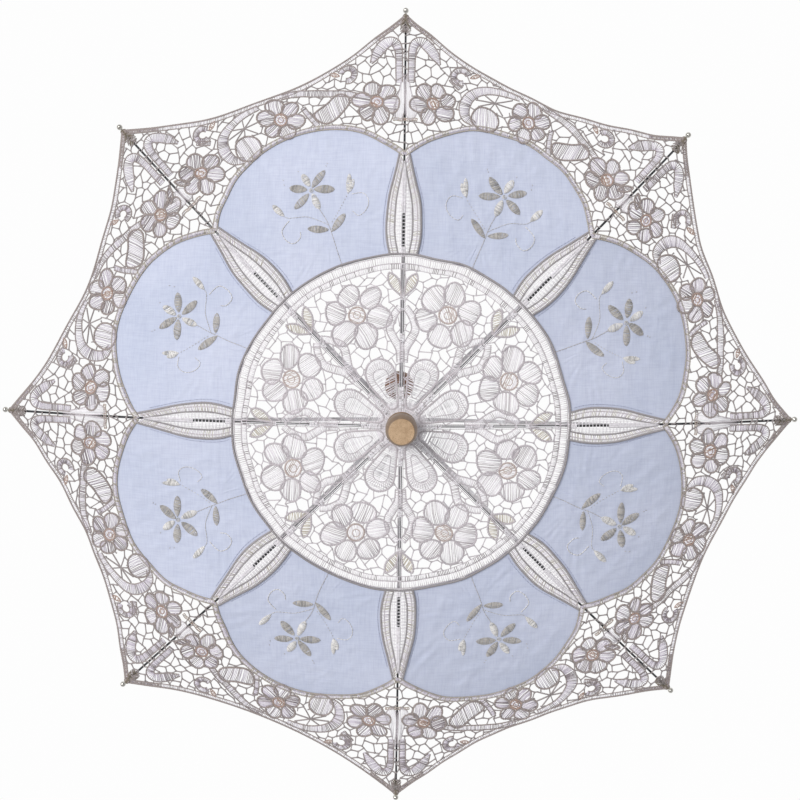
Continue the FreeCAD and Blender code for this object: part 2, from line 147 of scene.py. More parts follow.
# ---- Lines in the plan ----
def smooth(points, step=1.6, closed=False):
    """A smooth line through a few points, as an array of close ones."""
    p = np.array(points, float)
    if closed:
        p = np.vstack([p[-1:], p, p[:2]])
    else:
        p = np.vstack([2 * p[:1] - p[1:2], p, 2 * p[-1:] - p[-2:-1]])
    line = []
    for a, b, c, e in zip(p, p[1:], p[2:], p[3:]):
        count = max(2, int(np.linalg.norm(c - b) / step))
        t = np.linspace(0, 1, count, endpoint=False)[:, None]
        line.append(0.5 * (2 * b + (c - a) * t + (2 * a - 5 * b + 4 * c - e) * t ** 2
                           + (3 * b - a - 3 * c + e) * t ** 3))
    last = p[-2:-1] if not closed else line[0][:1]
    return np.vstack(line + [last])


def arc(centre, radius, start, end, step=1.6):
    """Part of a circle, its ends given in degrees from the d direction."""
    count = max(4, int(radius * math.radians(abs(end - start)) / step))
    angle = np.radians(np.linspace(start, end, count + 1))
    return np.column_stack([centre[0] + radius * np.cos(angle), centre[1] + radius * np.sin(angle)])


def normals(line):
    """Unit vectors to the left of a line's direction."""
    along = np.gradient(line, axis=0)
    along /= np.maximum(np.linalg.norm(along, axis=1, keepdims=True), 1e-9)
    return np.column_stack([-along[:, 1], along[:, 0]])


def distances(line):
    """How far along a line each of its points is."""
    return np.concatenate([[0], np.cumsum(np.linalg.norm(np.diff(line, axis=0), axis=1))])


def points_at(line, at):
    """The points at some distances along a line."""
    return np.column_stack([np.interp(at, distances(line), line[:, k]) for k in (0, 1)])


def resample(line, step):
    """The same line with even spacing."""
    line = np.asarray(line, float)
    total = distances(line)[-1]
    return points_at(line, np.linspace(0, total, max(1, int(round(total / step))) + 1))


def spread(values, count):
    """Values for a number of places: one for all of them, or a few with even blends between."""
    return np.interp(np.linspace(0, 1, count), np.linspace(0, 1, np.size(values)), np.atleast_1d(values))


def direction(angle):
    """The unit vector at an angle in radians from the d direction."""
    return np.array([math.cos(angle), math.sin(angle)])


def beside_rib(radius, away, side=1):
    """A point at a distance from the shaft along a gore's rib, and away from that rib."""
    return (radius * COS_HALF + away * SIN_HALF, side * (radius * SIN_HALF - away * COS_HALF))


def from_rib(points):
    """How far points of the plan are from the nearer rib."""
    return points[:, 0] * SIN_HALF - np.abs(points[:, 1]) * COS_HALF


def along_rib(places, side):
    """Plan points of places given as radius and distance from the rib."""
    return [beside_rib(radius, away, side) for radius, away in places]


def across_gore(radius, step=1.6):
    """An arc about the shaft, from one of the gore's ribs to the other."""
    return arc((0, 0), radius, -HALF_GORE_DEGREES, HALF_GORE_DEGREES, step)


def mirrored(points, side):
    """Points of a left half gore, moved to the side asked for."""
    return [(d, side * w) for d, w in points]


def both_sides(half):
    """An outline that is the same on both sides of the middle line, from its left half."""
    return half + [(d, -w) for d, w in half[::-1] if w]


def leaf_outline(base, tip, width, fullness=0.5, point=0.8):
    """A leaf; fullness is where it is widest, from base to tip, and a small point makes it blunt."""
    base, tip = np.array(base, float), np.array(tip, float)
    across = np.array([base[1] - tip[1], tip[0] - base[0]]) / np.linalg.norm(tip - base)
    t = np.linspace(0, 1, 15)[:, None]
    power = math.log(0.5) / math.log(fullness)
    half = across * (width / 2) * np.sin(math.pi * t ** power) ** point
    spine = base + (tip - base) * t
    return np.vstack([spine + half, (spine - half)[::-1][1:]])


def inside(points, outline):
    """Which points lie inside a closed outline."""
    low, high = outline.min(0), outline.max(0)
    found = np.all((points > low) & (points < high), axis=1)
    near = np.flatnonzero(found)
    x, y = points[near, 0][:, None], points[near, 1][:, None]
    x0, y0 = outline[:, 0], outline[:, 1]
    x1, y1 = np.roll(x0, -1), np.roll(y0, -1)
    crosses = (y0 > y) != (y1 > y)
    at = x0 + (y - y0) * (x1 - x0) / np.where(y1 == y0, 1e-9, y1 - y0)
    found[near] = (np.sum(crosses & (x < at), axis=1) % 2) == 1
    return found


# ---- Yarns ----
def yarn_colour(red, green, blue):
    """A linear colour from the usual 0 to 255 values."""
    values = np.array([red, green, blue]) / 255
    return np.where(values <= 0.04045, values / 12.92, ((values + 0.055) / 1.055) ** 2.4)


TAUPE = yarn_colour(174, 163, 160)          # cords of the border
PANEL_TAUPE = yarn_colour(190, 182, 172)    # tape round the cotton
EDGE_GREY = yarn_colour(174, 169, 172)      # cords round the disc and the slots
HEM_THREAD = yarn_colour(186, 192, 216)     # the cotton's own hem stitches
SOFT_TAUPE = yarn_colour(214, 207, 212)     # cords of the disc
BRIDE = yarn_colour(168, 160, 160)          # the open net of the border
SOFT_BRIDE = yarn_colour(213, 207, 212)     # and of the disc
FILL = yarn_colour(221, 214, 226)           # threads inside the motifs
SOFT_FILL = yarn_colour(248, 243, 249)
SHADE = yarn_colour(163, 153, 159)          # the darker threads among the fill
SOFT_SHADE = yarn_colour(212, 205, 210)
LEAF_BEIGE = yarn_colour(214, 206, 192)
RUSSET = yarn_colour(188, 163, 152)
SOFT_RUSSET = yarn_colour(212, 197, 193)
CORNER_CLOTH = yarn_colour(130, 120, 106)
EARTH = yarn_colour(204, 200, 196)          # embroidery
CREAM = yarn_colour(247, 245, 243)
NET = yarn_colour(250, 247, 252)

# Cord, fill, shade and heart of the flowers
BORDER_DYES = (TAUPE, FILL, SHADE, RUSSET)
DISC_DYES = (SOFT_TAUPE, SOFT_FILL, SOFT_SHADE, SOFT_RUSSET)

CORD_RADIUS = 1.1
FINE_RADIUS = 0.6
FILL_RADIUS = 0.5
BRIDE_RADIUS = 0.82
SOFT_BRIDE_RADIUS = 0.75
PLY_PITCH = 3.3             # length of one twist of a two-ply cord
PLY_STEP = 0.55
PLY_OFFSET = 0.48           # of the cord's radius, from its middle to a ply's
PLY_RADIUS = 0.62           # of the cord's radius
THREAD_JITTER = 0.12        # how far threads in a row stray, as a share of their pitch
SHORTEST_FILL = 1.2         # shorter threads than this are left out
PETALS = 6


class Yarns:
    """Lines of thread in one gore's plan. Each point holds d, w, lift and radius."""

    def __init__(self, seed):
        self.random = np.random.default_rng(seed)
        self.lines = []
        self.colours = []
        self.motifs = []

    def add(self, line, colour, radius, lift=0.0):
        """Lay one thread."""
        line = np.asarray(line, float)
        if len(line) < 2:
            return
        extra = np.column_stack([np.broadcast_to(lift, len(line)), np.broadcast_to(radius, len(line))])
        self.lines.append(np.hstack([line, extra]))
        self.colours.append(colour * self.random.uniform(0.9, 1.1))

    def cord(self, line, colour, radius, lift=0.0):
        """Lay a cord of two twisted plies."""
        line = resample(line, PLY_STEP)
        phase = 2 * math.pi * (np.arange(len(line)) * PLY_STEP / PLY_PITCH + self.random.random())
        side = normals(line)
        for turn in (0, math.pi):
            out = PLY_OFFSET * radius * np.cos(phase + turn)[:, None]
            up = PLY_OFFSET * radius * np.sin(phase + turn)
            self.add(line + side * out, colour, PLY_RADIUS * radius, lift + up)

    def ring(self, centre, radius, colour, thread=FINE_RADIUS):
        """A round thread."""
        wobble = self.random.normal(0, 0.25, 2)
        self.add(arc(np.array(centre) + wobble, radius, 0, 360), colour, thread)

    def dyes(self, count, colour, shade, dark):
        """Colours for a row of threads, with the darker ones in small groups."""
        chosen = []
        while len(chosen) < count:
            if self.random.random() < dark:
                chosen += [shade] * self.random.integers(1, 3)
            else:
                chosen += [colour] * self.random.integers(1, 4)
        return chosen[:count]

    def fill(self, outline, angle, colour, pitch=1.4, dark=0.48, shade=SHADE, radius=FILL_RADIUS, lift=0.0):
        """Fill an outline with slightly uneven parallel threads."""
        along = direction(math.radians(angle) + self.random.normal(0, 0.08))
        across = np.array([-along[1], along[0]])
        a, b = outline @ along, outline @ across
        a1, b1 = np.roll(a, -1), np.roll(b, -1)
        levels = np.arange(b.min() + 0.5 * pitch, b.max(), pitch)
        levels += self.random.normal(0, THREAD_JITTER * pitch, len(levels))
        for level, dyed in zip(levels, self.dyes(len(levels), colour, shade, dark)):
            crossed = (b > level) != (b1 > level)
            share = (level - b[crossed]) / (b1[crossed] - b[crossed])
            ends = np.sort(a[crossed] + share * (a1[crossed] - a[crossed]))
            for start, end in zip(ends[0::2], ends[1::2]):
                if end - start > SHORTEST_FILL:
                    t = np.array([-0.02, 0.5, 1.02])    # its ends run under the cord
                    bow = self.random.normal(0, 0.25, len(t))
                    line = np.outer(start + (end - start) * t, along) + np.outer(level + bow, across)
                    self.add(line, dyed, radius, lift)

    def motif(self, outline, angle, cord, fill, shade=SHADE, pitch=1.4, dark=0.48, thread=CORD_RADIUS):
        """A filled shape with a cord round it. Brides stop at its edge."""
        closed = np.vstack([outline, outline[:2]])
        self.cord(closed, cord, thread)
        self.fill(outline, angle, fill, pitch, dark, shade)
        self.motifs.append(outline)

    def band(self, middle, width, cord, rung, pitch=1.4, thread=0.75, rung_radius=FILL_RADIUS,
             dark=0.3, shade=SHADE, slant=0.0, blocks=True):
        """A tape: two cords and the threads across. width is one number, or several along it."""
        middle = resample(middle, 1.4)
        half = spread(width, len(middle)) / 2
        side = normals(middle) * half[:, None]
        self.cord(middle + side, cord, thread)
        self.cord(middle - side, cord, thread)
        stops = resample(middle, pitch)
        across = normals(stops)
        along = np.column_stack([across[:, 1], -across[:, 0]])
        reach = (across + along * slant) * spread(half, len(stops))[:, None]
        stops = stops + along * self.random.normal(0, THREAD_JITTER * pitch, (len(stops), 1))
        for point, out, dyed in zip(stops, reach, self.dyes(len(stops), rung, shade, dark)):
            self.add([point - out, point + out], dyed, rung_radius)
        if blocks:
            self.motifs.append(np.vstack([middle + side, (middle - side)[::-1]]))

    def flower(self, centre, turn, dyes, reach, petal, ring, thread=CORD_RADIUS):
        """Uneven round petals about a ring; reach is from its middle to a petal's."""
        cord, fill, shade, heart = dyes
        for k in range(PETALS):
            angle = turn + 360 / PETALS * k + self.random.normal(0, 2.5)
            out = direction(math.radians(angle))
            size = petal * self.random.uniform(0.92, 1.12)
            middle = np.array(centre) + out * reach
            t = np.radians(np.arange(0, 360, 15))
            across = np.array([-out[1], out[0]])
            lumpy = size * (1 + 0.08 * np.sin(2 * t + self.random.uniform(0, 6))
                            + 0.04 * np.sin(3 * t + self.random.uniform(0, 6)))
            outline = middle + np.outer(np.cos(t) * lumpy, out) + np.outer(np.sin(t) * lumpy, across)
            self.motif(outline, angle + self.random.normal(0, 14), cord, fill, shade, thread=thread)
        self.motif(arc(centre, ring, 0, 345, 1.2), turn + 40, heart, fill, heart, dark=0.5, thread=thread)
        self.ring(centre, ring * 0.45, heart)


def brides(yarns, allowed, cell, low, high, colour, radius):
    """The open net of threads between the motifs: an uneven honeycomb.

    allowed(points) says where the net may lie, and the motifs cut it off too.
    """
    edge = cell / math.sqrt(3)
    columns = int((high[0] - low[0]) / (edge * math.sqrt(3) / 2)) + 2
    rows = int((high[1] - low[1]) / (edge * 1.5)) + 2
    i, j = np.meshgrid(np.arange(columns), np.arange(rows), indexing="ij")
    odd = (i + j) % 2
    place = np.stack([low[0] + i * edge * math.sqrt(3) / 2, low[1] + edge * (1.5 * j + 0.25 - 0.5 * odd)], -1)
    place = place + yarns.random.normal(0, 0.26 * edge, place.shape)
    chain = [(place[:-1], place[1:]), (place[:, :-1][odd[:, :-1] == 0], place[:, 1:][odd[:, :-1] == 0])]
    starts = np.vstack([pair[0].reshape(-1, 2) for pair in chain])
    ends = np.vstack([pair[1].reshape(-1, 2) for pair in chain])
    samples = 8
    t = np.linspace(0, 1, samples)
    points = starts[:, None] + (ends - starts)[:, None] * t[:, None]
    flat = points.reshape(-1, 2)
    free = allowed(flat)
    for outline in yarns.motifs:
        free[free] = ~inside(flat[free], outline)
    free = free.reshape(-1, samples)
    thick = radius * (0.85 + 0.5 * (2 * t - 1) ** 4)
    for line, kept in zip(points, free):
        if kept.sum() < 2:
            continue
        first, last = np.flatnonzero(kept)[[0, -1]]
        run = slice(max(first - 1, 0), min(last + 2, samples))
        yarns.add(line[run], colour, thick[run])


# ---- The lace of the disc ----
DISC_FLOWER_AT = 107.3
SHELL = both_sides([(19.0, 3.6), (34.0, 9.2), (48.0, 13.2), (57.5, 11.6), (63.8, 4.6)])
SHELL_INSIDE = both_sides([(29.0, 2.2), (38.0, 4.6), (47.0, 6.8), (53.0, 5.4), (55.2, 0.0)])
SHELL_HEART = (44.0, 0.0)   # its short rays point away from here
RIBBON_MIDDLE = [(100.0, 38.6), (97.0, 33.0), (91.5, 26.6), (84.5, 22.4), (75.0, 23.2), (65.0, 24.3),
                 (54.0, 20.9)]
RIBBON_WIDTHS = (5.6, 7.0, 6.4)
DISC_LEAF = [(117.0, 1.0), (138.5, 12.5)]       # root and tip, as radius and distance from the rib
COLLAR_OUTER = 22.0         # the gathered lace about the crown
COLLAR_RINGS = (LACE_INNER, 12.5, 16.5, COLLAR_OUTER)
COLLAR_PITCH = 2.6          # degrees between its threads
TAPE_HALF = 2.1             # the tape over a rib, from its middle to its edge
TAPE_PITCH = 0.82
PAST_RIB = -0.1             # threads over a rib end just past its middle
# Stretches of the even and the odd ribs that show, by distance from the shaft.
BARE_RIB = {0: [(42.0, 98.0), (103.0, 136.0)], 1: [(36.0, 76.0), (84.0, 114.0), (119.0, 146.0)]}
BARE_RIB_HIGHLIGHT = 0.5       # a pale thread along the middle of a bare rib, a painted highlight on it
DISC_CELL = 10.7
DISC_NET_BOX = ((0, -62), (144, 62))


def disc_lace(yarns, gore):
    """One gore of the round lace at the middle of the canopy."""
    tape_middle = DISC_RADIUS - 1.0 - DISC_TAPE / 2
    row_middle = DISC_RADIUS - DISC_TAPE - DISC_ROW / 2 - 0.4
    yarns.cord(across_gore(DISC_RADIUS), EDGE_GREY, 1.3, 0.25)
    yarns.band(across_gore(tape_middle), DISC_TAPE - 2.0, SOFT_TAUPE, SOFT_FILL,
               pitch=1.9, thread=0.5, rung_radius=0.45, shade=SOFT_SHADE, blocks=False)
    yarns.band(across_gore(row_middle), DISC_ROW, SOFT_BRIDE, SOFT_FILL,
               pitch=1.5, thread=0.42, dark=0.4, blocks=False)
    yarns.flower((DISC_FLOWER_AT, 0.0), 0, DISC_DYES, reach=20.0, petal=10.4, ring=7.7, thread=1.05)
    shell_lace(yarns)
    for side in SIDES.values():
        rib = gore + (side > 0)
        rib_tape_in_disc(yarns, side, BARE_RIB[rib % 2])
        ribbon = smooth(mirrored(RIBBON_MIDDLE, side))
        yarns.band(ribbon, RIBBON_WIDTHS, SOFT_TAUPE, SOFT_FILL, shade=SOFT_SHADE)
        leaf = leaf_outline(*along_rib(DISC_LEAF, side), 9.0, 0.6)
        yarns.motif(leaf, 60 * side, SOFT_TAUPE, LEAF_BEIGE, dark=0.0)


def shell_lace(yarns):
    """The long shell at the root of a gore and its share of the gathered collar."""
    outline = smooth(SHELL, 2.5, True)
    inside_line = smooth(SHELL_INSIDE, 2.0, True)
    yarns.motif(outline, 90, SOFT_TAUPE, NET, SOFT_FILL, dark=0.3)
    yarns.cord(inside_line, SOFT_BRIDE, 0.5, 0.3)
    for point in resample(inside_line, 1.5):
        out = point - np.array(SHELL_HEART)
        out /= np.linalg.norm(out)
        if out[0] > -0.3:
            reach = yarns.random.uniform(5.0, 7.6)
            yarns.add([point, point + out * reach], SOFT_SHADE, 0.3, 0.3)
    for radius in COLLAR_RINGS:
        yarns.add(across_gore(radius, 1.0), SOFT_FILL, 0.5)
    for angle in np.arange(-HALF_GORE_DEGREES + 1.2, HALF_GORE_DEGREES, COLLAR_PITCH):
        out = direction(math.radians(angle))
        end = COLLAR_OUTER + yarns.random.uniform(-2.0, 2.5)
        yarns.add([out * LACE_INNER, out * 15.0, out * end], SOFT_FILL * yarns.random.uniform(0.8, 1.0), 0.5)


def rib_tape_in_disc(yarns, side, bare):
    """Half of the tape over a rib inside the disc, with a pale thread along the bare rib as a painted
    highlight; bare lists the stretches that show the rib.
    """
    inner = LACE_INNER + 8
    outer = DISC_RADIUS - DISC_TAPE
    yarns.cord(along_rib([(inner, TAPE_HALF), (outer, TAPE_HALF)], side), SOFT_BRIDE, 0.4)
    for radius in np.arange(inner, outer, TAPE_PITCH):
        if any(low < radius < high for low, high in bare):
            continue
        lean = yarns.random.normal(0, 0.5)
        dyed = SOFT_SHADE if yarns.random.random() < 0.2 else NET
        yarns.add(along_rib([(radius, PAST_RIB), (radius + lean, TAPE_HALF)], side), dyed, 0.54, 0.2)
    # A pale thread along the middle of each bare stretch: a painted highlight on the rib.
    if side > 0:
        for low, high in bare:
            middle = resample(along_rib([(low, 0.0), (high, 0.0)], side), 4.0)
            yarns.add(middle, NET, BARE_RIB_HIGHLIGHT, 0.3)


def disc_net(yarns):
    """The brides of the disc."""
    inner_edge = DISC_RADIUS - DISC_TAPE - DISC_ROW - 0.5

    def allowed(points):
        radius = np.linalg.norm(points, axis=1)
        return (radius < inner_edge) & (radius > COLLAR_OUTER) & (from_rib(points) > TAPE_HALF - 0.3)

    brides(yarns, allowed, DISC_CELL, *DISC_NET_BOX, SOFT_BRIDE, SOFT_BRIDE_RADIUS)


# ---- The slots over the ribs ----
SLOT_NET_PITCH = 1.7
RUNG_PITCH = 0.9            # of the close rungs over the rib
RUNG_REACH = 2.0            # from the rib's middle
MIDDLE_CORD = 0.42          # share of the tape's width, from its outer edge


def slot_line(table, side):
    """One edge of a slot's tape."""
    return smooth(along_rib(table, side))


def slot_lace(yarns, side):
    """Half of a slot: the ladder tape beside the rib and the net in its middle."""
    outer = resample(slot_line(SLOT_OUTER, side), 1.5)
    inner = resample(slot_line(SLOT_INNER, side), 1.5)
    yarns.cord(outer, EDGE_GREY, 1.15, 0.4)
    yarns.cord(inner, EDGE_GREY, 0.9, 0.1)
    facing = np.column_stack([spread(inner[:, k], len(outer)) for k in (0, 1)])
    yarns.cord(outer + (facing - outer) * MIDDLE_CORD, SOFT_TAUPE, 0.6, 0.2)
    for start, end in zip(outer, facing):
        dyed = PANEL_TAUPE if yarns.random.random() < 0.4 else FILL
        yarns.add([start, end + yarns.random.normal(0, 0.3, 2)], dyed, 0.4)
    slot_net(yarns, side)


def slot_net(yarns, side):
    """Fine white net between a slot's inner edge and its rib, closest over the rib."""
    edge_r, edge_away = np.array(SLOT_INNER).T
    low, high = edge_r[[0, -1]]
    for k, radius in enumerate(np.arange(low, high, SLOT_NET_PITCH)):
        reach = np.interp(radius, edge_r, edge_away)
        lean = 1.0 if k % 2 else -1.0
        yarns.add(along_rib([(radius, reach), (radius + lean, PAST_RIB)], side), NET, 0.38, 0.1)
    for start, end in ((low, SLOT_BARE[0]), (SLOT_BARE[1], high)):
        for radius in np.arange(start, end, RUNG_PITCH):
            yarns.add(along_rib([(radius, PAST_RIB), (radius, RUNG_REACH)], side), NET, 0.52, 0.25)
    for away in np.arange(TAPE_HALF, edge_away.max(), SLOT_NET_PITCH):
        stretch = [radius for radius in np.arange(low, high, 2.0)
                   if np.interp(radius, edge_r, edge_away) > away]
        line = [beside_rib(radius, away + yarns.random.normal(0, 0.15), side) for radius in stretch]
        yarns.add(line, NET, 0.36)


# ---- The lace of the border ----
LEFT_LEAF = [(281.8, 40.0), (285.5, 30.5), (294.0, 27.0), (302.5, 30.5), (306.0, 39.0), (303.0, 48.5),
             (294.5, 52.0), (286.0, 50.0)]
LEFT_ARCH = [(284.5, 47.0), (288.0, 56.5), (297.0, 61.5), (307.0, 61.5), (315.5, 57.0), (322.0, 48.5),
             (326.5, 38.0), (328.5, 27.0), (329.0, 16.0)]
LEFT_ARCH_WIDTHS = (5.0, 8.5, 11.0, 10.5, 8.5, 7.0, 6.0, 5.0)
SPIDER_KNOT = (314.5, 36.0)
SPIDER_ENDS = [(324.5, 22.0), (323.5, 35.0), (317.5, 47.0), (309.0, 54.0), (304.0, 49.0), (307.0, 38.0),
               (305.0, 26.0), (316.0, 18.0)]
RIGHT_LEAF = [(302.0, 31.0), (306.5, 47.0), (311.5, 59.0), (307.0, 66.5), (298.0, 66.0), (289.5, 50.0),
              (288.0, 38.0), (294.0, 31.5)]
RIGHT_BAND = [(331.5, 8.0), (329.5, 24.0), (323.5, 39.0), (315.5, 54.0), (309.5, 66.0), (302.5, 76.0)]
UPRIGHT_TAPE = [(313.0, 24.0), (303.0, 25.5), (290.0, 29.0)]
CURL_CENTRE = (327.0, 76.0)
CURL_TAPE = [(321.0, 84.0), (314.5, 72.0)]
RUSSET_LEAF = [(329.0, 68.0), (336.0, 60.0)]
NARROW_TAPE = 4.6
MIDDLE_FLOWER_AT = (310.0, 0.0)
SIDE_FLOWER_AT = (288.8, 90.0)
HEM_POINTS = 200
CORNER_POINTS = 24          # of the hem's points, where its tape is close and dark
BORDER_CELL = 10.6
BORDER_NET_BOX = ((225, -152), (365, 152))
# The next ones are places as radius and distance from the rib.
HOOK = [(322.0, 5.6), (334.0, 5.9), (346.0, 6.0), (357.0, 6.8), (364.0, 10.0), (365.0, 15.5), (360.0, 21.5),
        (352.0, 27.0), (342.0, 32.5)]
HOOK_WIDTHS = (6.0, 6.4, 6.4, 7.0, 9.0, 10.5, 9.5, 2.4)
CROSSING = [(284.0, -0.1), (283.4, 4.0), (284.6, 8.0), (284.0, 11.5)]
LONG_WEDGE = [(330.0, 1.4), (310.0, 6.4), (294.0, 11.0), (286.0, 8.8), (288.0, 1.4)]
SHORT_WEDGE = [(306.0, 1.8), (294.0, 9.9), (290.0, 1.4)]
GREY_LEAF = [(314.0, 3.4), (301.0, 13.0)]
CORNER_PATCH = [(373.0, 0.2), (376.0, 5.2), (384.0, 4.8), (394.0, 1.4), (394.0, 0.2)]


def hem_line(offset):
    """A line along the scalloped hem, a little inside it."""
    w = np.linspace(-CORNER_W, CORNER_W, HEM_POINTS)
    return np.column_stack([HEM_MIDDLE + HEM_BULGE * w ** 2 - offset, w])


def border_lace(yarns, turned):
    """One gore of the outer lace. turned swaps the sides of the white wedges."""
    hem = hem_line(HEM_TAPE / 2)
    yarns.band(hem, HEM_TAPE - 1.6, TAUPE, FILL, pitch=1.6, thread=0.62, rung_radius=0.4, dark=0.5,
               blocks=False)
    for end in (hem[:CORNER_POINTS], hem[-CORNER_POINTS:]):
        yarns.band(end, HEM_TAPE - 2.6, TAUPE, TAUPE, pitch=1.2, dark=0.3, blocks=False)
    yarns.cord(hem_line(0.3), TAUPE, 0.9)
    join_angle = math.degrees(math.atan2(PANEL_JOIN[1], PANEL_JOIN[0] - PANEL_CENTRE))
    edge = arc((PANEL_CENTRE, 0), PANEL_RADIUS, -join_angle, join_angle)
    yarns.band(edge, PANEL_TAPE - 1.2, PANEL_TAUPE, FILL, pitch=1.2, thread=0.72, rung_radius=0.5,
               slant=0.3, shade=PANEL_TAUPE, blocks=False)
    yarns.flower(MIDDLE_FLOWER_AT, 0, BORDER_DYES, reach=14.0, petal=7.6, ring=5.8)
    left_motifs(yarns)
    right_motifs(yarns)
    for side in SIDES.values():
        side_flower = (SIDE_FLOWER_AT[0], SIDE_FLOWER_AT[1] * side)
        yarns.flower(side_flower, 4 * side, BORDER_DYES, reach=14.4, petal=7.7, ring=5.8)
        corner_motifs(yarns, side, side * turned > 0)


def left_motifs(yarns):
    """The fat leaf, its arch, the spider of threads under the arch, and the curl with its tape."""
    yarns.band(smooth(LEFT_ARCH), LEFT_ARCH_WIDTHS, TAUPE, FILL)
    yarns.motif(smooth(LEFT_LEAF, 2.5, True), 8, TAUPE, FILL)
    for end in SPIDER_ENDS:
        yarns.add(resample([SPIDER_KNOT, end], 2.0), BRIDE, BRIDE_RADIUS)
    yarns.motifs.append(smooth(SPIDER_ENDS, 3.0, True))
    curl(yarns, 1)
    yarns.band(CURL_TAPE, NARROW_TAPE, TAUPE, SHADE, dark=0.0)


def right_motifs(yarns):
    """The leaf, the band that runs down over it from the hem, the upright tape and the curl."""
    yarns.motif(smooth(mirrored(RIGHT_LEAF, -1), 2.5, True), -4, TAUPE, FILL)
    yarns.band(smooth(mirrored(RIGHT_BAND, -1)), (5.0, 7.0, 5.4), TAUPE, FILL, dark=0.7)
    yarns.band(smooth(mirrored(UPRIGHT_TAPE, -1)), NARROW_TAPE, TAUPE, FILL)
    curl(yarns, -1)


def curl(yarns, side):
    """The C that opens towards the gore's middle line, and the russet leaf beside it."""
    centre = (CURL_CENTRE[0], CURL_CENTRE[1] * side)
    line = arc(centre, 7.0, -55 * side, 215 * side)
    yarns.band(line, 5.6, TAUPE, FILL, pitch=1.15, dark=0.7)
    yarns.motifs.append(arc(centre, 4.4, 0, 345))
    leaf = leaf_outline(*mirrored(RUSSET_LEAF, side), 4.0)
    yarns.motif(leaf, 40 * side, RUSSET, RUSSET, dark=0.0, thread=FINE_RADIUS)


def corner_motifs(yarns, side, long_wedge):
    """What lies between the side flower and the rib's tip."""
    yarns.band(smooth(along_rib(HOOK, side)), HOOK_WIDTHS, TAUPE, FILL, dark=0.45)
    yarns.band(smooth(along_rib(CROSSING, side)), 2.4, PANEL_TAUPE, RUSSET, thread=FINE_RADIUS)
    wedge = smooth(along_rib(LONG_WEDGE if long_wedge else SHORT_WEDGE, side), 2.5, True)
    yarns.motif(wedge, 25 * side, SOFT_TAUPE, NET, pitch=1.1, dark=0.12, thread=0.7)
    if not long_wedge:
        grey = leaf_outline(*along_rib(GREY_LEAF, side), 6.0)
        yarns.motif(grey, 95 * side, TAUPE, SHADE, dark=0.6)
    corner = np.array(along_rib(CORNER_PATCH, side))
    yarns.fill(corner, 60 * side, TAUPE * 0.8, dark=0.4, shade=CORNER_CLOTH, pitch=1.0, lift=0.2)


def border_net(yarns):
    """The brides of the border."""

    def allowed(points):
        d, w = points[:, 0], points[:, 1]
        hem = HEM_MIDDLE + HEM_BULGE * w ** 2 - HEM_TAPE + 0.8
        from_panel = np.hypot(d - PANEL_CENTRE, w) - PANEL_RADIUS
        return (from_rib(points) > 0.2) & (d < hem) & (from_panel > PANEL_TAPE / 2 - 0.8)

    brides(yarns, allowed, BORDER_CELL, *BORDER_NET_BOX, BRIDE, BRIDE_RADIUS)


# ---- The embroidery ----
FLOWER_HEART = (231.3, -9.1)
DARK_PETALS = [((233.4, -12.4), (242.6, -28.0)), ((233.0, -7.2), (244.4, 9.0)),
               ((230.8, -6.2), (223.4, 12.0)), ((229.2, -12.2), (220.8, -29.0))]
PALE_PETALS = [((235.0, -8.8), (250.4, -11.9)), ((227.8, -8.9), (211.0, -8.4))]
STEM = [(211.4, -8.5), (198.0, -7.0), (185.1, -7.4), (168.0, -7.6), (154.0, -8.0)]
STEM_LEAVES = [((188.3, -6.8), (199.4, 11.3)), ((190.8, -8.6), (198.0, -26.2))]
TENDRIL = [(194.9, -7.3), (199.4, -11.4), (208.2, -21.5), (212.4, -33.0), (215.2, -38.6), (221.0, -42.0)]
TENDRIL_LEAF = [((218.4, -40.6), (234.0, -47.0))]
CURL_RIGHT = [(211.5, -38.4), (208.4, -45.4), (204.4, -49.7), (196.0, -49.2), (190.3, -44.0), (192.8, -36.4),
              (197.6, -33.8)]
BUD_STEM = [(196.0, -3.4), (204.0, 7.2), (210.6, 15.4), (215.8, 21.6)]
BUD_LOBES = [((216.0, 21.8), (232.5, 29.6)), ((217.0, 23.4), (226.5, 31.0))]
CURL_LEFT = [(214.6, 24.9), (212.4, 33.6), (206.6, 36.6), (199.8, 34.8), (194.3, 28.4), (193.4, 21.8),
             (199.2, 19.2)]
SCATTERED_STITCHES = [(249.4, 14.0), (251.4, -30.9), (246.8, -31.6), (247.6, 12.0), (254.0, -14.0)]
# What is in satin stitch, with the width of each leaf and its colour
SATIN = [(DARK_PETALS, 7.2, EARTH), (PALE_PETALS, 6.4, CREAM), (STEM_LEAVES, 6.2, EARTH * 1.05),
         (TENDRIL_LEAF, 5.4, CREAM), (BUD_LOBES, 4.4, CREAM)]
# What is in back stitch, with its colour and the thread's radius
BACK_STITCH = [(STEM, EARTH, 0.33), (TENDRIL, CREAM * 0.75, 0.33), (CURL_RIGHT, CREAM * 0.9, 0.5),
               (CURL_LEFT, CREAM * 0.9, 0.4)]
SPRIG_SHIFT = {3: -12.0, 2: 4.0}        # sprigs that sit off the middle of their panel
STITCH_LIFT = 0.5
HEM_STITCHES = 3.4          # from the slot's tape to the cotton's own stitches


def satin(yarns, base, tip, width, colour):
    """One petal or leaf of satin stitch: close threads over a soft padding."""
    outline = leaf_outline(base, tip, width, 0.54, 0.6)
    angle = math.degrees(math.atan2(tip[1] - base[1], tip[0] - base[0]))
    yarns.fill(outline, angle + 80, colour, pitch=0.55, dark=0.3, shade=colour * 0.72, radius=0.36,
               lift=STITCH_LIFT)
    yarns.add(np.vstack([outline, outline[:1]]), colour * 0.85, 0.24, STITCH_LIFT - 0.1)


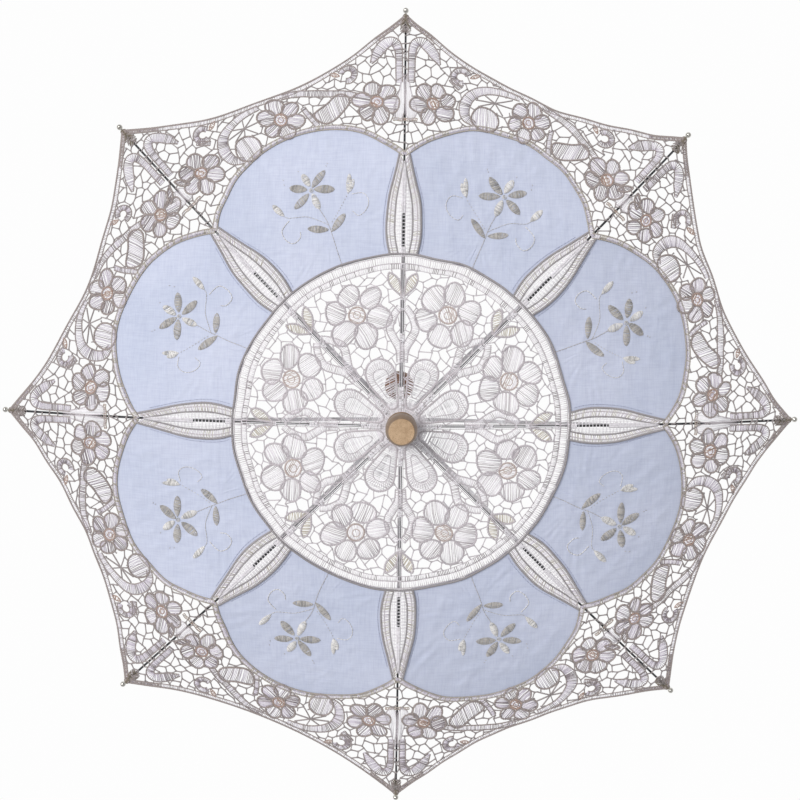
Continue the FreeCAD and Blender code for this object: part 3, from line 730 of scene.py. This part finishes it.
def stitched_line(yarns, points, colour, stitch=2.6, gap=0.5, radius=0.33):
    """A line of back stitches."""
    line = smooth(points, 0.5)
    total = distances(line)[-1]
    for start in np.arange(0, total, stitch + gap):
        places = [start, start + stitch / 2, min(start + stitch, total)]
        yarns.add(points_at(line, places), colour, radius, STITCH_LIFT * np.array([0.6, 1.0, 0.6]))


def embroider(yarns, gore, turned):
    """The sprig on one panel; every other panel has it the other way round."""
    shift = SPRIG_SHIFT.get(gore, 0.0)

    def place(point):
        return point[0], point[1] * turned + shift

    for leaves, width, colour in SATIN:
        for base, tip in leaves:
            satin(yarns, place(base), place(tip), width, colour)
    for points, colour, radius in BACK_STITCH:
        stitched_line(yarns, [place(point) for point in points], colour, radius=radius)
    stitched_line(yarns, [place(point) for point in BUD_STEM], CREAM * 0.75, stitch=1.4, gap=1.8)
    for side in SIDES.values():
        edge = slot_line(SLOT_OUTER, side)
        stitched_line(yarns, edge[3:-4:4] - [0.0, HEM_STITCHES * side], HEM_THREAD, stitch=3.0, radius=0.25)
    for point in SCATTERED_STITCHES:
        d, w = place(point)
        yarns.add([(d, w), (d + 1.1, w + 0.8)], EARTH, 0.3, STITCH_LIFT)
    for radius in (0.8, 1.8):
        yarns.ring(place(FLOWER_HEART), radius, CREAM * 0.8, 0.4)
        yarns.lines[-1][:, 2] = STITCH_LIFT + 0.3
    for line in yarns.lines:
        line[:, 2] += cotton_lift(line[:, :2], gore)


# ---- From the plan to the canopy ----
HAND_SHIFT = 0.8            # how far handwork strays from the pattern
HAND_FADE = 30.0            # it strays less, nearer to a rib than this
HAND_WAVES = (95.0, 52.0, 37.0)
YARN_SIDES = 4              # corners round each thread
UNDER_CAP = 18.0            # nearer to the shaft than this, nothing rises above the roof


def handmade(points, gore):
    """Shift points of a gore's plan a little, but not on the ribs that bound it."""
    random = np.random.default_rng(900 + gore)
    size = HAND_SHIFT * smoothstep(from_rib(points) / HAND_FADE)
    shifted = points.copy()
    for k in (0, 1):
        for wave in HAND_WAVES:
            angle, phase = random.uniform(0, 2 * math.pi, 2)
            along = points @ direction(angle)
            shifted[:, k] += size * np.sin(2 * math.pi * along / wave + phase) * wave / HAND_WAVES[0]
    return shifted


def rib_azimuth(rib):
    """Direction of a rib, from above; rib 1 lies along X."""
    return 2 * (rib - 1) * HALF_GORE


def gore_azimuth(gore):
    """Direction of a gore's middle line; gore 1 follows rib 1."""
    return rib_azimuth(gore) + HALF_GORE


def spun(points, azimuth):
    """Points turned about the shaft."""
    c, s = direction(azimuth)
    return points @ np.array([[c, s, 0], [-s, c, 0], [0, 0, 1]])


def to_world(plan, lift, gore):
    """Places points of a gore's plan on the canopy, in metres."""
    moved = handmade(plan, gore)
    d = moved[:, 0]
    z = np.minimum(cloth_height(d) + lift, CLOTH_ROOF + np.maximum(d - UNDER_CAP, 0))
    return spun(np.column_stack([moved, z]), gore_azimuth(gore)) * MM


def halves(line, side):
    """The stretches of a line on one side of the gore's middle line."""
    w = line[:, 1] * side
    if w.min() >= 0:
        return [line]
    if w.max() <= 0:
        return []
    on_side = w > 0
    turns = np.flatnonzero(on_side[1:] != on_side[:-1])
    share = (w[turns] / (w[turns] - w[turns + 1]))[:, None]
    crossings = line[turns] + share * (line[turns + 1] - line[turns])
    longer = np.insert(line, turns + 1, crossings, axis=0)
    cuts = turns + 1 + np.arange(len(turns))
    parts = []
    bounds = [0, *cuts, len(longer) - 1]
    for start, end in zip(bounds, bounds[1:]):
        part = longer[start:end + 1]
        if len(part) > 1 and part[:, 1].mean() * side > 0:
            parts.append(part)
    return parts


def tubes(centres, radii, lengths, sides):
    """Closed tubes about many lines at once, as corners and four-sided faces.

    lengths says how many of the centres each line has. sides is an even number.
    """
    index = np.arange(len(centres))
    ends = np.cumsum(lengths)
    first = np.isin(index, ends - lengths)
    last = np.isin(index, ends - 1)
    along = centres[index + ~last] - centres[index - ~first]
    along /= np.maximum(np.linalg.norm(along, axis=1, keepdims=True), 1e-12)
    across = np.cross(along, [0.0, 0.0, 1.0])
    across /= np.maximum(np.linalg.norm(across, axis=1, keepdims=True), 1e-12)
    up = np.cross(across, along)
    turn = 2 * math.pi * (np.arange(sides) + 0.5) / sides
    ring = across[:, None] * np.cos(turn)[:, None] + up[:, None] * np.sin(turn)[:, None]
    corners = (centres[:, None] + ring * radii[:, None, None]).reshape(-1, 3)
    near = index[~last, None] * sides + np.arange(sides)
    far = near + sides
    walls = np.stack([near, np.roll(near, -1, 1), np.roll(far, -1, 1), far], -1).reshape(-1, 4)
    caps = [index[ends, None] * sides + np.array([0, c + 2, c + 1, c])[::order]
            for ends, order in ((first, 1), (last, -1)) for c in range(1, sides - 1, 2)]
    return corners, np.vstack([walls, *caps])


def add_object(name, data):
    """A new object in the scene for a mesh, a lamp or a camera."""
    made = bpy.data.objects.new(name, data)
    bpy.context.scene.collection.objects.link(made)
    return made


def mesh_piece(name, corners, faces, colours=None):
    """A mesh object, smooth shaded, with a colour for each corner if given."""
    mesh = bpy.data.meshes.new(name)
    mesh.vertices.add(len(corners))
    mesh.vertices.foreach_set("co", corners.astype(np.float32).ravel())
    mesh.loops.add(faces.size)
    mesh.loops.foreach_set("vertex_index", faces.astype(np.int32).ravel())
    mesh.polygons.add(len(faces))
    mesh.polygons.foreach_set("loop_start", np.arange(0, faces.size, 4, dtype=np.int32))
    mesh.polygons.foreach_set("use_smooth", np.ones(len(faces), bool))
    mesh.update(calc_edges=True)
    if colours is not None:
        dye = mesh.attributes.new("dye", "FLOAT_COLOR", "POINT")
        opaque = np.hstack([colours, np.ones((len(colours), 1))])
        dye.data.foreach_set("color", opaque.astype(np.float32).ravel())
    return add_object(name, mesh)


def yarn_piece(name, yarns, gore, side, material):
    """One half gore of threads as a single mesh."""
    parts = []
    colours = []
    for line, colour in zip(yarns.lines, yarns.colours):
        for part in halves(line, side):
            parts.append(part)
            colours.append(np.broadcast_to(colour, (len(part), 3)))
    joined = np.vstack(parts)
    lengths = np.array([len(part) for part in parts])
    centres = to_world(joined[:, :2], joined[:, 2], gore)
    corners, faces = tubes(centres, joined[:, 3] * MM, lengths, YARN_SIDES)
    piece = mesh_piece(name, corners, faces, np.repeat(np.vstack(colours), YARN_SIDES, axis=0))
    piece.data.materials.append(material)
    return piece


# ---- The cotton panels ----
COTTON_THICKNESS = 0.25
COTTON_ROWS = 110
COTTON_COLUMNS = 56
COTTON_TUCK = 1.2           # how far the cotton runs under its tapes
COTTON_FOOT_ANGLE = 18.2    # from the middle line to where the panel's side meets the disc
WRINKLE = 0.4               # height of the widest creases
WRINKLE_WAVES = (46.0, 31.0, 19.0, 12.0)
PUCKER = 0.35               # height of the puckers beside the tapes
COTTON_DROP = 0.75          # how far the cotton lies below the middle of the tapes' cords


def slot_edge_w(d):
    """Distance from the middle line to the slot tape's outer edge."""
    line = slot_line(SLOT_OUTER, 1)
    return np.interp(d, line[:, 0], line[:, 1])


def edge_distance(plan):
    """How far points of a panel are from the tapes that hold it."""
    from_round = PANEL_RADIUS - np.hypot(plan[:, 0] - PANEL_CENTRE, plan[:, 1])
    from_disc = np.hypot(plan[:, 0], plan[:, 1]) - DISC_RADIUS
    from_slot = (slot_edge_w(plan[:, 0]) - np.abs(plan[:, 1])) * COS_HALF
    return np.maximum(np.minimum(np.minimum(from_round, from_disc), from_slot), 0)


def wrinkles(plan, gore):
    """Height of the cotton's soft creases and the puckers along its edge."""
    random = np.random.default_rng(300 + gore)
    height = np.zeros(len(plan))
    for wave in np.repeat(WRINKLE_WAVES, 3):
        angle, phase, bend = random.uniform(0, 2 * math.pi, 3)
        across = plan @ direction(angle + math.pi / 2)
        along = plan @ direction(angle) + 5 * np.sin(across / 23 + bend)
        crease = np.sin(2 * math.pi * along / wave + phase)
        height += WRINKLE * wave / WRINKLE_WAVES[0] * (1 - np.abs(crease) ** 0.7)
    turn = np.arctan2(plan[:, 1], plan[:, 0] - PANEL_CENTRE)
    pucker = np.sin(turn * 34 + 2 * np.sin(turn * 7 + gore)) * np.sin(turn * 5 + gore) ** 2
    held = edge_distance(plan)
    free = smoothstep((held - 3.0) / 22.0)
    near_edge = smoothstep((held - 2.0) / 8.0) * smoothstep((34.0 - held) / 20.0)
    return height * free + PUCKER * near_edge * pucker


def cotton_lift(plan, gore):
    """Height of the cotton above the canopy's own surface."""
    return wrinkles(plan, gore) - COTTON_DROP


def cotton_plan(side):
    """Grid of plan points of half a panel, row by row, and its flat area."""
    top = PANEL_CENTRE + PANEL_RADIUS
    angle = np.linspace(0, math.pi, COTTON_ROWS)
    lowest = (DISC_RADIUS - 1) * math.cos(math.radians(COTTON_FOOT_ANGLE))
    d = lowest + (top - lowest) * (1 - np.cos(angle)) / 2
    inner = np.sqrt(np.maximum((DISC_RADIUS - COTTON_TUCK) ** 2 - d ** 2, 0))
    circle = np.sqrt(np.maximum(PANEL_RADIUS ** 2 - (d - PANEL_CENTRE) ** 2, 0))
    outer = np.maximum(np.minimum(slot_edge_w(d), circle), inner + 0.02)
    share = np.linspace(0, 1, COTTON_COLUMNS)
    w = inner[:, None] + (outer - inner)[:, None] * share
    plan = np.column_stack([np.repeat(d, COTTON_COLUMNS), w.ravel() * side])
    return plan, np.trapz(outer - inner, d)


def cotton_piece(name, gore, side, material):
    """Half of one panel: a thin closed cloth."""
    plan, area = cotton_plan(side)
    lift = cotton_lift(plan, gore)
    top = to_world(plan, lift + COTTON_THICKNESS / 2, gore)
    bottom = to_world(plan, lift - COTTON_THICKNESS / 2, gore)
    count = len(plan)
    index = np.arange(count).reshape(COTTON_ROWS, COTTON_COLUMNS)
    quads = np.stack([index[:-1, :-1], index[1:, :-1], index[1:, 1:], index[:-1, 1:]], -1).reshape(-1, 4)
    rim = np.concatenate([index[0, :-1], index[:-1, -1], index[-1, :0:-1], index[:0:-1, 0]])
    after = np.roll(rim, -1)
    walls = np.column_stack([rim, after, after + count, rim + count])
    faces = np.vstack([quads, quads[:, ::-1] + count, walls])[:, ::side]
    piece = mesh_piece(name, np.vstack([top, bottom]), faces)
    piece.data.set_sharp_from_angle(angle=math.radians(50))
    piece.data.materials.append(material)
    return piece, area


# ---- Materials ----
WHITE = (1.0, 1.0, 1.0)


class Recipe:
    """A node material with a few helpers."""

    def __init__(self, name):
        self.material = bpy.data.materials.new(name)
        self.material.use_nodes = True
        self.nodes = self.material.node_tree.nodes
        self.shader = self.nodes["Principled BSDF"]
        self.place = self.node("ShaderNodeTexCoord").outputs["Object"]

    def node(self, kind, **settings):
        """A new node with some of its settings."""
        made = self.nodes.new(kind)
        for key, value in settings.items():
            setattr(made, key, value)
        return made

    def link(self, output, target):
        self.material.node_tree.links.new(output, target)

    def set(self, **sockets):
        """Shader values that are the same all over."""
        for key, value in sockets.items():
            self.shader.inputs[key.replace("_", " ")].default_value = value

    def stretched(self, scale):
        """Object coordinates scaled along each axis."""
        mapping = self.node("ShaderNodeMapping")
        mapping.inputs["Scale"].default_value = scale
        self.link(self.place, mapping.inputs["Vector"])
        return mapping.outputs["Vector"]

    def noise(self, scale, detail=3.0, vector=None, distortion=0.0):
        """Cloudy noise from 0 to 1, in object coordinates unless others are given."""
        noise = self.node("ShaderNodeTexNoise")
        noise.inputs["Scale"].default_value = scale
        noise.inputs["Detail"].default_value = detail
        noise.inputs["Distortion"].default_value = distortion
        self.link(vector or self.place, noise.inputs["Vector"])
        return noise.outputs["Fac"]

    def ramp(self, factor, *stops):
        """Colours along a factor; each stop is (position, colour)."""
        ramp = self.node("ShaderNodeValToRGB")
        elements = ramp.color_ramp.elements
        while len(elements) < len(stops):
            elements.new(0.5)
        for element, (position, colour) in zip(elements, stops):
            element.position = position
            element.color = (*colour, 1.0)
        self.link(factor, ramp.inputs["Fac"])
        return ramp.outputs["Color"]

    def multiply(self, colour, *layers):
        """A colour multiplied by others."""
        for layer in layers:
            mix = self.node("ShaderNodeMix", data_type="RGBA", blend_type="MULTIPLY")
            mix.inputs["Factor"].default_value = 1.0
            self.link(colour, mix.inputs[6])
            self.link(layer, mix.inputs[7])
            colour = mix.outputs[2]
        return colour

    def rough(self, factor, low, high):
        """Roughness that varies between two values."""
        span = self.node("ShaderNodeMapRange")
        span.inputs["To Min"].default_value = low
        span.inputs["To Max"].default_value = high
        self.link(factor, span.inputs["Value"])
        self.link(span.outputs["Result"], self.shader.inputs["Roughness"])

    def bump(self, height, strength, distance):
        """Relief from a height."""
        bump = self.node("ShaderNodeBump")
        bump.inputs["Strength"].default_value = strength
        bump.inputs["Distance"].default_value = distance
        self.link(height, bump.inputs["Height"])
        self.link(bump.outputs["Normal"], self.shader.inputs["Normal"])

    def colour(self, *layers):
        """The surface's own colour, as a product of layers."""
        self.link(self.multiply(*layers), self.shader.inputs["Base Color"])


def yarn_material(name, sheen):
    """Cotton thread in its own dye, with lint and uneven dyeing."""
    recipe = Recipe(name)
    dye = recipe.node("ShaderNodeAttribute", attribute_name="dye").outputs["Color"]
    lint = recipe.noise(1400.0, 4.0)
    mottle = recipe.ramp(recipe.noise(260.0), (0.3, (0.9, 0.89, 0.88)), (0.7, WHITE))
    fibres = recipe.ramp(lint, (0.35, (0.88, 0.87, 0.86)), (0.65, WHITE))
    recipe.colour(dye, mottle, fibres)
    recipe.rough(lint, 0.72, 0.95)
    recipe.set(Sheen_Weight=sheen, Sheen_Roughness=0.5, Specular_IOR_Level=0.25)
    recipe.bump(lint, 0.5, 0.0003)
    return recipe.material


def cotton_material():
    """Plain-woven pale blue cotton: threads both ways, slubs and soft creases."""
    recipe = Recipe("pale_blue_cotton")
    warp = recipe.node("ShaderNodeTexWave", wave_type="BANDS", bands_direction="X")
    weft = recipe.node("ShaderNodeTexWave", wave_type="BANDS", bands_direction="Y")
    for wave in (warp, weft):
        wave.inputs["Scale"].default_value = 330.0
        wave.inputs["Distortion"].default_value = 1.2
        wave.inputs["Detail"].default_value = 1.0
        recipe.link(recipe.place, wave.inputs["Vector"])
    weave = recipe.node("ShaderNodeMath", operation="MULTIPLY")
    recipe.link(warp.outputs["Fac"], weave.inputs[0])
    recipe.link(weft.outputs["Fac"], weave.inputs[1])
    slubs = [recipe.noise(1.0, 2.0, recipe.stretched(scale))
             for scale in ((60.0, 900.0, 60.0), (900.0, 60.0, 60.0))]
    base = recipe.ramp(recipe.noise(14.0, 4.0), (0.3, (0.605, 0.645, 0.775)), (0.7, (0.675, 0.705, 0.83)))
    threads = recipe.ramp(weave.outputs["Value"], (0.0, (0.93, 0.94, 0.96)), (1.0, WHITE))
    thick = [recipe.ramp(slub, (0.3, (0.93, 0.93, 0.95)), (0.6, WHITE)) for slub in slubs]
    recipe.colour(base, threads, *thick)
    recipe.rough(weave.outputs["Value"], 0.8, 0.92)
    recipe.set(Sheen_Weight=0.12, Sheen_Roughness=0.5, Specular_IOR_Level=0.2)
    recipe.bump(weave.outputs["Value"], 0.35, 0.0002)
    return recipe.material


def wood_material(name, pale, deep, scale, painted_side_shade=1.0):
    """Turned wood with its grain along the shaft, pores and a thin satin finish.

    painted_side_shade is painted shade: it darkens what faces away from the shaft's end.
    """
    recipe = Recipe(name)
    grain = recipe.noise(1.0, 6.0, recipe.stretched((150.0 * scale, 150.0 * scale, 9.0 * scale)), 0.8)
    pores = recipe.noise(1.0, 3.0, recipe.stretched((1500.0, 1500.0, 60.0)))
    between = tuple((a + b) / 2 for a, b in zip(pale, deep))
    tone = recipe.ramp(grain, (0.28, deep), (0.5, between), (0.72, pale))
    pits = recipe.ramp(pores, (0.32, (0.6, 0.55, 0.5)), (0.46, WHITE))
    # Painted shade: a darker colour where the surface faces away from the shaft's end.
    facing = recipe.node("ShaderNodeSeparateXYZ")
    recipe.link(recipe.node("ShaderNodeNewGeometry").outputs["Normal"], facing.inputs["Vector"])
    side = (painted_side_shade, painted_side_shade * 0.94, painted_side_shade * 0.86)
    recipe.colour(tone, pits, recipe.ramp(facing.outputs["Z"], (0.8, side), (0.97, WHITE)))
    recipe.rough(grain, 0.38, 0.55)
    recipe.set(Coat_Weight=0.2, Coat_Roughness=0.3)
    recipe.bump(pores, 0.2, 0.0003)
    return recipe.material


def metal_material(name, colour, rough, brushed):
    """Bare metal; brushed is the scale of the fine scratches along each axis."""
    recipe = Recipe(name)
    scratches = recipe.noise(1.0, 5.0, recipe.stretched(brushed))
    dull = tuple(0.78 * c for c in colour)
    recipe.colour(recipe.ramp(scratches, (0.3, dull), (0.7, colour)),
                  recipe.ramp(recipe.noise(90.0), (0.3, (0.85, 0.84, 0.82)), (0.6, WHITE)))
    recipe.rough(scratches, rough * 0.75, rough * 1.3)
    recipe.set(Metallic=1.0)
    recipe.bump(scratches, 0.12, 0.0001)
    return recipe.material


def painted_material(name, colour, low, high, coat):
    """Black paint or plastic, a little uneven, with dust."""
    recipe = Recipe(name)
    speckle = recipe.noise(700.0, 4.0)
    dust = recipe.noise(60.0, 5.0)
    lit = tuple(c * 2.6 + 0.012 for c in colour)
    recipe.colour(recipe.ramp(dust, (0.42, colour), (0.75, lit)))
    recipe.rough(speckle, low, high)
    recipe.set(Coat_Weight=coat, Coat_Roughness=0.25)
    recipe.bump(speckle, 0.15, 0.0002)
    return recipe.material


def dress_frame():
    """Give every CAD node that stays in sight its material."""
    # The knob's sides get painted shade.
    knob_wood = wood_material("knob_wood", (0.60, 0.42, 0.26), (0.42, 0.27, 0.15), 1.0, painted_side_shade=0.42)
    cap_wood = wood_material("cap_wood", (0.34, 0.25, 0.17), (0.20, 0.135, 0.085), 1.0)
    handle_wood = wood_material("handle_wood", (0.22, 0.105, 0.06), (0.09, 0.038, 0.022), 0.8)
    shaft_metal = metal_material("shaft_metal", (0.78, 0.775, 0.76), 0.3, (900.0, 900.0, 14.0))
    bright_steel = metal_material("bright_steel", (0.86, 0.86, 0.88), 0.38, (700.0, 700.0, 700.0))
    steel = metal_material("steel", (0.56, 0.56, 0.57), 0.32, (700.0, 700.0, 700.0))
    nickel = metal_material("nickel", (0.66, 0.64, 0.6), 0.24, (500.0, 500.0, 500.0))
    black_paint = painted_material("black_paint", (0.014, 0.014, 0.016), 0.28, 0.5, 0.3)
    black_plastic = painted_material("black_plastic", (0.018, 0.018, 0.02), 0.35, 0.6, 0.1)
    looks = {
        "ferrule_knob": knob_wood, "handle": handle_wood, "handle_collar": nickel, "shaft_tube": shaft_metal,
        "crown_cap": cap_wood, "top_notch": black_plastic, "runner": black_plastic,
        "rib_tip": nickel, "rib": black_paint, "stretcher": bright_steel, "rivet": nickel,
    }
    for name, node in frame["nodes"].items():
        kind = name.rstrip("0123456789").rstrip("_")
        node.data.materials.clear()
        node.data.materials.append(looks.get(kind, steel))


def squash_towards_rib(piece):
    """Gives a half gore piece its own copy of its mesh."""
    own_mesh(piece)


def make_gore(gore, lace_material, cotton, embroidery_material):
    """The pieces of both halves of one gore."""
    turned = 1 if gore % 2 == 0 else -1
    lace = Yarns(100 + gore)
    disc_lace(lace, gore)
    disc_net(lace)
    lace.motifs = []
    border_lace(lace, turned)
    border_net(lace)
    for side in SIDES.values():
        slot_lace(lace, side)
    sprig = Yarns(200 + gore)
    embroider(sprig, gore, turned)
    for word, side in SIDES.items():
        rib = gore % RIB_COUNT + 1 if side > 0 else gore
        panel, area = cotton_piece("cotton_%d_%s" % (rib, word), gore, side, cotton)
        net = yarn_piece("lace_%d_%s" % (rib, word), lace, gore, side, lace_material)
        stitches = yarn_piece("embroidery_%d_%s" % (rib, word), sprig, gore, side, embroidery_material)
        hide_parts("canopy_sector_%d" % rib)
        for piece, slot in ((panel, "cotton"), (net, "lace"), (stitches, "embroidery")):
            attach(piece, "rib_%d" % rib)
            squash_towards_rib(piece)


# ---- The bindings at the tips ----
TIP_WRAP_RADIUS = 2.65
TIP_WRAP_LENGTH = 8.5
TIP_WRAP_PITCH = 0.95
TIP_WRAP_STEPS = 14         # points in each of its turns
TIP_WRAP_SIDES = 6
TIP_WRAP_THREAD = 0.52
TIP_WRAP_PAST_END = 0.5     # how far it starts beyond the rib's end


def make_tip_wrap(rib, material):
    """The thread that binds a corner of the lace to its rib tip."""
    random = np.random.default_rng(500 + rib)
    slope = math.asin((RIB_END_R - ARC_CENTRE_R) / ARC_RADIUS)
    inward = direction(math.pi - slope)
    outward = direction(math.pi / 2 - slope)
    angle = np.arange(0, 2 * math.pi * TIP_WRAP_LENGTH / TIP_WRAP_PITCH, 2 * math.pi / TIP_WRAP_STEPS)
    count = len(angle)
    along = angle / (2 * math.pi) * TIP_WRAP_PITCH - TIP_WRAP_PAST_END
    radius = TIP_WRAP_RADIUS + 0.12 * np.sin(angle * 0.37) + random.normal(0, 0.05, count)
    out = RIB_END_R + along * inward[0] + radius * np.cos(angle) * outward[0]
    up = rib_height(RIB_END_R) + along * inward[1] + radius * np.cos(angle) * outward[1]
    centres = spun(np.column_stack([out, radius * np.sin(angle), up]), rib_azimuth(rib)) * MM
    radii = np.full(count, TIP_WRAP_THREAD * MM)
    corners, faces = tubes(centres, radii, [count], TIP_WRAP_SIDES)
    dye = np.repeat(CORNER_CLOTH * random.uniform(0.85, 1.15, (count, 1)), TIP_WRAP_SIDES, axis=0)
    piece = mesh_piece("tip_binding_%d" % rib, corners, faces, dye)
    piece.data.materials.append(material)
    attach(piece, "rib_%d" % rib)


# ---- Stage, light and camera ----
CAMERA_ABOVE_RIM = 1.1
CAMERA_OFFSET = (-0.0060, 0.0972)
CAMERA_TILT = (-0.0746, -0.0037, 0.0129)
CAMERA_LENS = 49.2
FLOOR_REACH = 40.0
KEY_FROM = (-0.62, 0.42, 1.0)


def make_stage():
    """A pale floor that glows a little, so that it looks shadowless and near white."""
    floor_z = cad_box[0].z - 0.001
    corners = [(x * FLOOR_REACH, y * FLOOR_REACH, floor_z) for x, y in ((-1, -1), (1, -1), (1, 1), (-1, 1))]
    floor = mesh_piece("floor", np.array(corners), np.arange(4).reshape(1, 4))
    recipe = Recipe("pale_floor")
    recipe.set(Base_Color=(0.0, 0.0, 0.0, 1.0), Specular_IOR_Level=0.0, Roughness=1.0,
               Emission_Color=(0.985, 0.985, 0.985, 1.0), Emission_Strength=1.0)
    floor.data.materials.append(recipe.material)


def make_light():
    """A pale sky and one broad soft light from the upper left."""
    world = bpy.data.worlds.new("studio")
    world.use_nodes = True
    background = world.node_tree.nodes["Background"]
    background.inputs["Color"].default_value = (0.97, 0.98, 1.0, 1.0)
    background.inputs["Strength"].default_value = 0.5
    bpy.context.scene.world = world
    key = bpy.data.lights.new("key", "SUN")
    key.energy = 2.0
    key.angle = math.radians(24)
    add_object("key", key).rotation_euler = Vector(KEY_FROM).to_track_quat("Z", "Y").to_euler()
    bpy.context.scene.view_settings.view_transform = "Standard"


def make_camera():
    """Looks down on the open canopy from a little behind the shaft."""
    data = bpy.data.cameras.new("camera")
    data.lens = CAMERA_LENS
    data.sensor_width = 36.0
    camera = add_object("camera", data)
    camera.location = (*CAMERA_OFFSET, RIM_Z + CAMERA_ABOVE_RIM)
    camera.rotation_euler = Euler(CAMERA_TILT)
    bpy.context.scene.camera = camera


def main():
    """Build everything."""
    make_camera()
    make_stage()
    make_light()
    dress_frame()
    lace_material = yarn_material("lace_cotton", 0.15)
    embroidery_material = yarn_material("embroidery_thread", 0.35)
    cotton = cotton_material()
    for gore in range(1, RIB_COUNT + 1):
        make_gore(gore, lace_material, cotton, embroidery_material)
        make_tip_wrap(gore, lace_material)


main()
